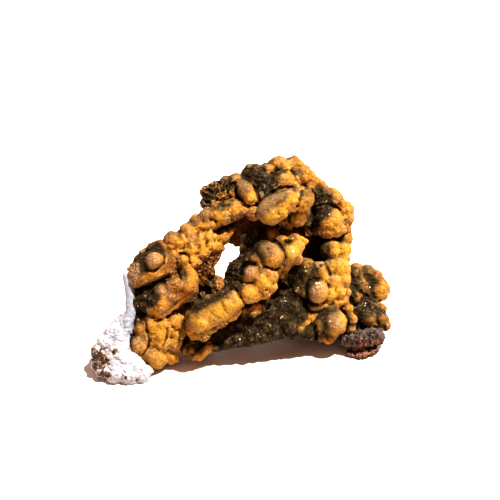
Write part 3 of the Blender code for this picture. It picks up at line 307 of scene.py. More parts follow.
# Strokes on the front of each branch: chains of points (across, rise), by kind.
STROKES = {
    ("left_leg", "seam"): [
        [(-18.9, 8.4), (-18.5, 7.0), (-18.3, 5.4), (-17.95, 4.0), (-18.1, 3.1), (-18.6, 2.2), (-19.2, 1.2)],
        [(-12.5, 19.3), (-12.3, 18.3), (-12.0, 17.3), (-11.7, 16.2)],
        [(-18.3, 18.1), (-17.0, 17.9), (-16.0, 18.5), (-15.1, 19.4), (-14.9, 20.6)],
        [(-15.2, 3.0), (-14.6, 4.6), (-14.3, 6.2)],
    ],
    ("left_leg", "cut"): [
        [(-21.0, 14.0), (-19.4, 14.5), (-17.8, 15.1), (-16.4, 15.8), (-15.0, 16.4), (-14.0, 16.8)],
    ],
    ("left_leg", "crease"): [
        [(-18.3, 18.1), (-17.0, 17.9), (-16.0, 18.5), (-15.1, 19.4), (-14.9, 20.6), (-15.3, 21.6),
         (-16.6, 22.0), (-18.2, 21.8), (-19.2, 21.3)],
        [(-20.0, 20.4), (-19.9, 19.0), (-19.7, 17.6), (-19.3, 16.8)],
        [(-14.0, 16.8), (-13.0, 17.2), (-12.3, 17.8)],
        [(-12.5, 19.3), (-12.3, 18.3), (-12.0, 17.3), (-11.7, 16.2), (-11.9, 15.4)],
        [(-16.2, 8.7), (-14.5, 9.6), (-13.2, 10.7), (-12.0, 11.8), (-10.4, 12.8), (-9.3, 13.7)],
        [(-17.6, 8.9), (-15.8, 8.4), (-14.6, 8.9), (-13.0, 9.8), (-11.8, 10.4)],
        [(-15.3, 15.0), (-15.0, 14.2), (-14.2, 13.4), (-13.0, 13.3)],
        [(-17.0, 12.6), (-17.6, 11.6), (-17.4, 10.6), (-16.4, 10.0)],
        [(-18.9, 8.4), (-18.5, 7.0), (-18.4, 6.1), (-17.9, 5.1), (-17.95, 4.0), (-18.1, 3.1),
         (-18.6, 2.2), (-19.2, 1.2), (-19.6, 0.4)], [(-17.9, 5.0), (-17.0, 5.3)],
        [(-16.8, 4.2), (-16.0, 3.5), (-15.2, 4.1)],
        [(-14.1, 7.9), (-13.9, 7.2), (-13.3, 6.8), (-12.6, 6.7), (-12.0, 7.1)],
        [(-13.6, 5.0), (-13.9, 3.9), (-13.95, 2.9), (-13.3, 2.5)],
        [(-14.6, 1.2), (-14.5, -0.6), (-13.4, -0.4)], [(-12.2, 6.3), (-11.7, 5.0), (-11.7, 3.2)],
        [(-20.9, 4.6), (-20.1, 3.6), (-19.6, 2.4), (-20.0, 1.2)],
    ],
    ("left_leg", "rim"): [
        [(-14.7, 23.1), (-13.6, 22.3), (-12.95, 21.2), (-12.8, 19.8), (-12.9, 18.4), (-13.6, 17.5)],
        [(-16.6, 13.9), (-15.6, 13.7), (-14.8, 13.6)],
        [(-11.0, 18.6), (-10.0, 18.7), (-9.2, 17.9), (-8.8, 16.6), (-8.8, 15.2)],
        [(-18.4, 5.4), (-18.3, 4.4), (-18.5, 3.2), (-19.0, 2.1)], [(-17.6, 8.4), (-16.6, 8.4)],
        [(-13.8, 15.4), (-12.6, 15.6), (-12.0, 14.6)], [(-17.0, 14.9), (-16.5, 13.4)],
    ],
    ("left_arm", "seam"): [[(-11.9, 21.2), (-10.9, 21.2), (-10.1, 20.6), (-10.0, 19.4)]],
    ("left_arm", "cut"): [[(-4.9, 25.6), (-3.8, 26.3), (-2.2, 26.9), (-0.6, 27.6), (0.8, 28.0)]],
    ("left_arm", "crease"): [
        [(-14.2, 23.2), (-13.2, 22.9), (-12.9, 23.6)],
        [(-12.9, 25.2), (-11.8, 24.7), (-11.2, 23.7), (-11.1, 22.5)],
        [(-10.7, 25.8), (-10.6, 24.4), (-10.3, 23.3), (-10.5, 22.0)],
        [(-9.9, 22.8), (-9.8, 21.7), (-9.0, 21.2), (-8.3, 21.6), (-8.1, 22.6), (-8.2, 23.4)],
        [(-8.0, 23.5), (-7.3, 23.8), (-6.6, 23.3), (-6.5, 22.4), (-6.9, 21.4)],
        [(-8.2, 25.9), (-8.3, 24.6), (-8.9, 23.6)], [(-6.7, 25.6), (-6.8, 24.2), (-6.4, 23.4)],
        [(-5.1, 25.2), (-5.0, 23.6), (-5.4, 22.4), (-5.9, 21.2)],
        [(-12.4, 21.0), (-12.6, 19.8), (-12.2, 18.9)],
        [(-11.9, 21.2), (-10.9, 21.2), (-10.1, 20.6), (-10.0, 19.4)],
        [(-10.9, 26.1), (-9.6, 25.9), (-8.2, 26.1), (-6.4, 25.9), (-5.0, 26.2)],
        [(-10.1, 28.0), (-9.5, 27.5), (-8.4, 27.5), (-7.8, 28.2)],
        [(-7.8, 28.6), (-7.4, 27.7), (-6.7, 27.4), (-5.9, 27.6), (-5.4, 28.5)],
        [(-5.7, 29.9), (-5.2, 28.8), (-4.9, 27.9), (-4.5, 27.1)], [(-3.2, 30.2), (-3.1, 28.7)],
        [(-1.6, 31.2), (-1.5, 30.0), (-1.7, 29.0)], [(-6.0, 30.5), (-5.2, 30.2), (-4.4, 30.6)],
        [(-4.2, 31.0), (-3.2, 30.6), (-2.6, 30.9), (-1.6, 30.8)],
        [(-4.6, 24.6), (-4.0, 23.5), (-3.2, 23.2)], [(-9.4, 20.8), (-8.2, 20.4), (-7.2, 20.6)],
    ],
    ("left_arm", "rim"): [
        [(-14.0, 24.7), (-13.0, 24.7), (-12.5, 24.1), (-12.4, 23.3)],
        [(-10.5, 21.0), (-10.1, 20.2), (-10.3, 19.2)], [(-9.7, 28.7), (-8.9, 28.9), (-8.2, 28.6)],
        [(-7.5, 29.5), (-6.6, 29.8)],
    ],
    ("crown", "seam"): [
        [(12.3, 33.9), (12.1, 33.2), (12.0, 32.3), (11.8, 31.4), (11.4, 30.6)],
        [(4.0, 31.6), (5.0, 32.5), (6.4, 33.5), (8.0, 34.3), (9.4, 34.5), (10.8, 34.3)],
        [(14.3, 34.0), (14.9, 33.0), (15.0, 31.6), (14.6, 30.4)],
        [(14.4, 29.6), (14.9, 30.5), (16.0, 31.0), (17.5, 31.1), (18.9, 30.8), (20.0, 30.0)],
        [(2.7, 34.7), (3.3, 33.6), (3.8, 32.4), (3.9, 31.3), (3.3, 30.6)],
        [(-0.8, 34.2), (-0.8, 33.4), (-0.4, 32.5), (0.3, 31.5), (1.1, 30.8)],
        [(10.2, 37.8), (10.8, 37.0), (11.2, 36.0), (11.9, 35.1), (12.9, 35.2)],
        [(6.3, 37.4), (7.3, 37.15), (8.3, 37.5), (9.3, 37.9)],
    ],
    ("crown", "cut"): [[(0.7, 30.6), (1.8, 30.2), (3.1, 30.3)]],
    ("crown", "crease"): [
        [(-0.8, 33.6), (-1.0, 34.6), (-0.6, 35.5), (0.2, 36.05), (1.1, 36.05), (2.0, 35.6), (2.7, 34.7),
         (3.3, 33.6), (3.8, 32.4), (3.9, 31.3), (3.3, 30.6), (2.2, 30.5), (1.1, 30.8), (0.3, 31.5),
         (-0.4, 32.5), (-0.8, 33.6)], [(-1.9, 35.2), (-1.2, 34.9), (-0.8, 34.4)],
        [(0.7, 36.7), (1.6, 36.4), (2.6, 36.1), (3.1, 35.4)],
        [(4.3, 34.2), (4.5, 33.4), (5.1, 32.6), (5.8, 32.1)],
        [(3.5, 34.4), (4.4, 34.6), (5.4, 34.9), (6.3, 34.4), (6.7, 33.4)],
        [(1.2, 38.1), (2.2, 38.35), (3.0, 38.2), (3.9, 38.4)], [(2.6, 38.1), (2.3, 37.2), (2.8, 36.5)],
        [(4.2, 38.7), (4.9, 37.6), (5.5, 37.0), (6.2, 36.9)],
        [(3.2, 36.6), (4.2, 36.4), (5.2, 36.6), (6.1, 36.0), (6.1, 34.8)],
        [(6.3, 37.4), (7.3, 37.15), (8.3, 37.5), (9.3, 37.9), (10.2, 37.8)],
        [(7.0, 37.1), (7.3, 36.2), (7.2, 35.0), (6.6, 34.4)],
        [(10.2, 37.8), (10.8, 37.0), (11.2, 36.0), (11.9, 35.1), (12.9, 35.2), (13.6, 35.6)],
        [(10.4, 38.3), (11.2, 38.9), (12.2, 38.9), (12.9, 38.6)], [(9.6, 40.6), (9.4, 39.8), (9.9, 39.2)],
        [(8.3, 38.9), (8.2, 38.1), (7.6, 37.4)], [(13.9, 37.6), (13.6, 36.4), (13.9, 35.6), (15.2, 35.9)],
        [(12.0, 34.6), (12.6, 34.8), (13.4, 34.4)], [(-2.6, 34.6), (-2.2, 35.6), (-1.9, 36.4)],
        [(-3.3, 35.9), (-3.1, 34.9), (-3.4, 34.0)], [(-5.9, 34.9), (-5.1, 34.6), (-4.4, 34.9)],
        [(-7.2, 32.8), (-6.0, 32.4), (-5.0, 31.9)], [(-4.9, 33.4), (-4.8, 32.2), (-4.9, 31.6)],
        [(11.3, 34.3), (12.1, 33.4), (12.5, 32.4), (12.5, 31.3), (12.1, 30.3)],
        [(14.3, 28.2), (14.4, 29.6), (14.9, 30.5), (16.0, 31.0), (17.5, 31.1), (18.9, 30.8),
         (20.0, 30.0), (20.8, 28.9), (21.2, 27.5), (21.0, 26.3)],
        [(15.6, 31.6), (16.2, 32.6), (17.4, 32.8), (18.6, 32.4), (19.6, 31.5), (20.3, 30.6)],
        [(14.3, 33.4), (15.4, 34.4), (16.4, 33.6)], [(18.0, 34.4), (18.6, 33.4), (18.5, 32.6)],
        [(14.8, 35.9), (15.4, 34.9), (16.4, 34.4)], [(21.1, 30.6), (21.2, 29.4)],
        [(12.6, 27.2), (13.0, 28.4), (12.9, 29.6)], [(13.5, 25.6), (14.2, 26.6), (14.3, 28.2)],
    ],
    ("crown", "rim"): [
        [(-1.6, 35.5), (-1.1, 36.4), (-0.2, 36.6), (0.7, 36.3)],
        [(2.1, 35.2), (2.8, 34.0), (3.3, 32.9), (3.6, 31.8)],
        [(4.4, 38.7), (5.1, 37.9), (5.6, 37.3), (6.4, 37.1)],
        [(12.9, 34.0), (13.6, 33.2), (13.95, 32.2), (13.8, 31.2)], [(1.4, 39.0), (2.2, 39.2)],
        [(2.7, 37.3), (3.0, 36.8)], [(20.9, 29.0), (21.3, 27.9)],
        [(15.0, 30.2), (16.2, 30.7), (17.6, 30.8), (18.9, 30.4)],
    ],
    ("middle_branch", "seam"): [
        [(-0.9, 14.3), (-0.5, 13.6), (0.0, 12.8), (0.6, 12.0), (1.2, 11.2)],
        [(9.1, 20.5), (8.7, 21.8), (7.9, 22.9), (7.0, 23.8)],
        [(4.8, 18.9), (6.0, 18.3), (6.9, 17.9), (7.8, 18.7)],
    ],
    ("middle_branch", "cut"): [
        [(9.1, 23.6), (9.7, 23.4)], [(0.3, 17.4), (0.5, 18.6), (1.6, 19.3), (2.9, 19.1)],
    ],
    ("middle_branch", "crease"): [
        [(-0.9, 14.3), (-0.5, 13.6), (0.0, 12.8), (0.6, 12.0), (1.2, 11.2)],
        [(0.2, 18.4), (0.0, 17.3), (0.5, 16.2), (1.5, 15.5), (2.8, 15.5), (3.7, 16.3), (4.0, 17.4),
         (3.6, 18.5), (2.6, 19.2), (1.2, 19.2), (0.2, 18.4)], [(4.0, 14.6), (3.7, 13.2), (2.6, 12.1)],
        [(5.2, 17.8), (5.6, 16.4), (5.4, 15.2), (6.8, 15.1)], [(4.4, 14.3), (5.6, 14.4)],
        [(1.5, 20.6), (2.1, 19.7), (3.1, 18.9), (4.1, 18.1)],
        [(4.3, 18.1), (4.9, 18.6), (4.5, 19.8), (3.7, 21.0), (2.9, 21.9)],
        [(9.1, 20.5), (8.7, 21.8), (7.9, 22.9), (7.0, 23.8)],
        [(4.8, 18.9), (6.0, 18.3), (6.9, 17.9), (7.8, 18.7), (8.7, 19.6), (9.1, 20.5)],
        [(10.2, 23.2), (11.0, 22.3), (11.2, 21.0), (11.0, 19.8)],
        [(7.6, 24.7), (7.8, 23.6), (8.6, 23.1), (9.2, 23.2)], [(12.1, 24.8), (12.4, 23.4), (12.3, 22.6)],
        [(-5.9, 9.8), (-4.9, 8.8), (-3.7, 8.3)], [(-3.6, 11.6), (-3.1, 10.4), (-2.2, 9.6)],
        [(-10.4, 6.2), (-9.6, 5.3), (-7.6, 5.5), (-5.4, 6.4), (-3.6, 7.6), (-1.6, 9.0), (0.4, 10.5)],
        [(5.2, 23.6), (5.2, 24.6), (4.9, 25.4)], [(-3.0, 16.2), (-2.0, 17.2), (-1.6, 18.6)],
        [(-1.8, 17.6), (-0.6, 17.8)], [(5.4, 22.2), (5.9, 21.0), (5.7, 19.8)], [(5.7, 22.0), (6.6, 22.6)],
    ],
    ("middle_branch", "rim"): [
        [(2.9, 22.2), (4.0, 23.3), (5.0, 23.9), (6.2, 23.9), (7.3, 23.2), (8.2, 22.1), (8.7, 20.9)],
        [(0.5, 18.2), (1.2, 18.8), (2.2, 19.0)], [(6.9, 17.6), (7.4, 16.8)],
        [(11.4, 24.8), (12.0, 23.6), (12.1, 22.2)], [(-9.9, 5.7), (-8.2, 5.8), (-6.2, 6.4), (-4.2, 7.6)],
        [(-9.8, 10.1), (-8.0, 10.8), (-5.4, 12.3), (-3.2, 13.7), (-1.2, 15.3)],
    ],
    ("right_column", "seam"): [
        [(13.7, 15.9), (13.3, 15.0), (13.2, 13.6), (13.5, 12.2), (14.2, 11.3), (15.4, 11.1)],
        [(20.2, 10.1), (21.0, 9.2), (21.5, 8.0), (21.5, 6.6), (21.0, 5.4)],
        [(16.0, 18.9), (16.9, 19.1), (17.5, 18.2), (17.9, 17.0)],
    ],
    ("right_column", "cut"): [[(15.0, 6.9), (15.0, 5.6), (14.9, 4.4)]],
    ("right_column", "crease"): [
        [(16.0, 18.9), (16.9, 19.1), (17.5, 18.2), (17.9, 17.0), (17.8, 16.1)],
        [(13.7, 15.9), (14.6, 16.3), (15.8, 16.3), (16.9, 15.9), (17.6, 14.9), (17.8, 13.6),
         (17.5, 12.4), (16.6, 11.4), (15.4, 11.1), (14.2, 11.3), (13.5, 12.2), (13.2, 13.6),
         (13.3, 15.0), (13.7, 15.9)], [(14.3, 9.6), (15.4, 9.7), (16.8, 10.1), (17.7, 10.8), (18.6, 11.4)],
        [(16.2, 9.3), (17.6, 10.0), (18.8, 10.1), (19.8, 10.1)],
        [(20.2, 10.1), (21.0, 9.2), (21.5, 8.0), (21.5, 6.6), (21.0, 5.4), (20.0, 4.8), (18.6, 4.7),
         (17.6, 5.6), (16.9, 7.0)], [(19.8, 12.4), (19.7, 11.2), (20.0, 10.2)],
        [(20.8, 13.0), (20.9, 14.4), (21.3, 15.2)], [(19.9, 12.6), (20.8, 12.6), (21.2, 11.8)],
        [(21.4, 11.2), (21.0, 10.6), (20.2, 10.8)], [(16.6, 5.8), (16.2, 4.8)], [(17.3, 4.9), (17.3, 4.2)],
        [(13.6, 19.3), (14.6, 19.0), (15.2, 18.2), (15.4, 17.0)],
        [(10.4, 18.2), (11.4, 17.4), (12.2, 16.2), (12.3, 15.2)],
        [(17.2, 20.6), (17.6, 21.6), (17.4, 22.6)], [(21.2, 8.6), (22.2, 8.0), (23.0, 8.0)],
        [(21.5, 6.9), (22.3, 7.0), (23.0, 6.4)],
    ],
    ("right_column", "rim"): [
        [(11.0, 18.3), (12.2, 19.2), (13.2, 19.8), (14.2, 19.6), (15.4, 19.3), (16.4, 19.1)],
        [(17.0, 18.6), (17.6, 17.4), (17.6, 16.4)], [(20.0, 9.7), (20.9, 8.6), (21.2, 7.4), (21.0, 6.2)],
        [(14.0, 15.2), (15.0, 15.5), (15.9, 15.6)], [(14.6, 10.3), (16.0, 10.6)],
    ],
    ("lower_crust", "crease"): [
        [(11.0, 9.0), (10.8, 7.6), (10.3, 6.2), (10.2, 5.2), (11.0, 4.9)],
        [(12.2, 5.2), (13.4, 6.3), (14.6, 7.2), (15.4, 8.6)], [(8.0, 6.9), (8.8, 6.2), (9.8, 6.1)],
        [(5.6, 10.9), (6.4, 10.2), (6.0, 9.2)], [(-0.9, 6.4), (0.2, 5.6), (1.0, 4.6)],
        [(2.2, 8.6), (3.2, 7.8), (3.4, 6.6)], [(2.8, 5.4), (3.0, 4.4), (2.6, 3.6)],
        [(5.6, 6.8), (5.8, 5.6), (5.4, 4.6)], [(7.2, 9.8), (7.4, 8.4), (6.8, 7.4)],
        [(-8.0, 1.4), (-7.6, 2.6)], [(-5.2, 2.0), (-5.4, 3.4)], [(12.6, 11.8), (13.6, 11.0), (14.2, 11.0)],
    ],
    ("lower_crust", "rim"): [
        [(-4.2, 2.2), (-2.0, 2.1), (0.4, 2.3), (2.4, 2.7), (4.6, 3.2)],
        [(4.6, 3.2), (7.2, 3.8), (9.6, 4.4)], [(6.6, 12.0), (8.2, 13.1), (9.4, 13.9)],
    ],
    ("back_lobe", "seam"): [
        [(24.1, 13.6), (24.4, 12.4), (24.2, 11.2), (23.0, 10.9)],
        [(25.4, 12.8), (26.2, 11.9), (27.4, 11.6), (28.4, 11.8)],
    ],
    ("back_lobe", "crease"): [
        [(22.2, 15.0), (23.2, 14.6), (24.1, 13.6), (24.4, 12.4), (24.2, 11.2), (23.0, 10.9), (22.0, 11.4)],
        [(25.4, 12.8), (26.2, 11.9), (27.4, 11.6), (28.4, 11.8)],
        [(25.6, 15.6), (25.3, 14.2), (25.4, 12.8)], [(25.4, 17.0), (26.4, 16.6), (27.2, 17.2)],
        [(25.4, 11.2), (26.2, 11.4), (27.2, 10.8), (27.6, 9.6), (28.4, 8.9)],
        [(24.3, 8.8), (25.2, 9.5), (26.4, 9.1), (27.4, 8.0), (27.9, 6.9)],
        [(24.0, 17.6), (23.8, 16.4), (24.6, 15.4)], [(22.0, 10.0), (23.2, 9.6), (23.6, 8.4)],
        [(25.4, 11.8), (25.3, 11.0), (24.4, 10.2)],
    ],
    ("back_lobe", "rim"): [
        [(24.4, 9.0), (25.4, 9.3), (26.5, 8.8), (27.4, 7.6)], [(22.9, 13.6), (23.8, 13.2), (24.1, 12.2)],
        [(29.6, 7.6), (30.0, 6.8), (29.6, 5.8)],
    ],
    ("matrix_base", "cut"): [[(19.6, 2.0), (21.6, 1.9), (23.6, 1.5), (25.4, 1.9), (26.8, 2.5)]],
    ("matrix_base", "crease"): [
        [(24.4, 5.6), (24.5, 4.6), (24.9, 3.6), (24.8, 2.8)],
        [(25.2, 6.2), (26.2, 5.6), (27.0, 4.6), (27.0, 3.4)], [(21.0, 4.0), (22.4, 3.6)],
        [(22.4, 4.4), (23.4, 3.4)], [(25.4, 4.4), (26.4, 4.0)],
    ],
    ("matrix_base", "rim"): [
        [(20.2, 4.8), (21.6, 4.9), (22.8, 5.1)],
        [(20.4, 2.9), (22.0, 2.7), (23.2, 2.2), (24.6, 2.1), (25.8, 2.4)],
        [(24.0, 6.4), (25.0, 7.0), (26.6, 6.9), (28.2, 6.4)], [(27.6, 5.4), (28.6, 4.9)],
    ],
}
# The half-width and height of each kind of stroke; a negative height carves.
STROKE_KINDS = {"cut": (0.8, -0.75), "seam": (0.5, -0.35), "crease": (0.5, -0.16), "rim": (0.4, 0.1)}

# Lumps spread over the sides turned away: (smallest radius, largest radius).
FAR_LUMPS = {
    "crown": (1.2, 2.2), "right_column": (1.0, 2.0), "rear_column": (1.2, 2.4), "middle_branch": (0.9, 1.7),
    "left_arm": (0.9, 1.6), "left_leg": (1.0, 2.0), "lower_crust": (0.9, 1.6), "back_lobe": (1.1, 2.0),
    "matrix_base": (0.6, 1.0), "quartz_foot": (0.5, 0.9),
}
FAR_TRIES = 900
HOLE = (-2.6, 19.6, 3.6)  # no lump is spread round the window between the branches: across, rise, radius
DRIP_RISE = 7.0  # the quartz grows smooth from this height
DRIP_FADE = 3.0  # and is smooth this much higher
FAR_FACING = 0.15  # a face leans this much to the back, or less, where lumps are spread
FAR_EDGE = 0.5  # lumps on faces that stand square to the plane are smaller by this share
FAR_SPACE = 0.8  # their middles stand this share of their summed radii apart
FAR_CLEAR = 0.6  # and this share of their radius above the resting plane

# Small domes that crowd each skin: (smallest radius, largest radius, height as a share of the radius).
COBBLES = {
    "crown": (0.7, 1.3, 0.24), "right_column": (0.8, 1.6, 0.18), "rear_column": (0.8, 1.7, 0.2),
    "middle_branch": (0.8, 1.6, 0.14), "left_arm": (0.6, 1.15, 0.28), "left_leg": (0.7, 1.4, 0.22),
    "lower_crust": (0.7, 1.3, 0.3), "back_lobe": (0.8, 1.5, 0.2), "matrix_base": (0.5, 1.0, 0.3),
    "quartz_foot": (0.7, 1.5, 0.3),
}
PEBBLES = {
    "crown": (0.3, 0.6, 0.2), "right_column": (0.3, 0.6, 0.14), "rear_column": (0.35, 0.7, 0.14),
    "middle_branch": (0.3, 0.6, 0.13), "left_arm": (0.3, 0.55, 0.2), "left_leg": (0.3, 0.6, 0.17),
    "lower_crust": (0.3, 0.6, 0.18), "back_lobe": (0.3, 0.6, 0.17), "matrix_base": (0.25, 0.5, 0.4),
    "quartz_foot": (0.28, 0.5, 0.5),
}
GRIT = {
    "crown": 0.04, "right_column": 0.025, "rear_column": 0.05, "middle_branch": 0.025, "left_arm": 0.03,
    "left_leg": 0.03, "lower_crust": 0.02, "back_lobe": 0.03, "matrix_base": 0.12, "quartz_foot": 0.12,
}

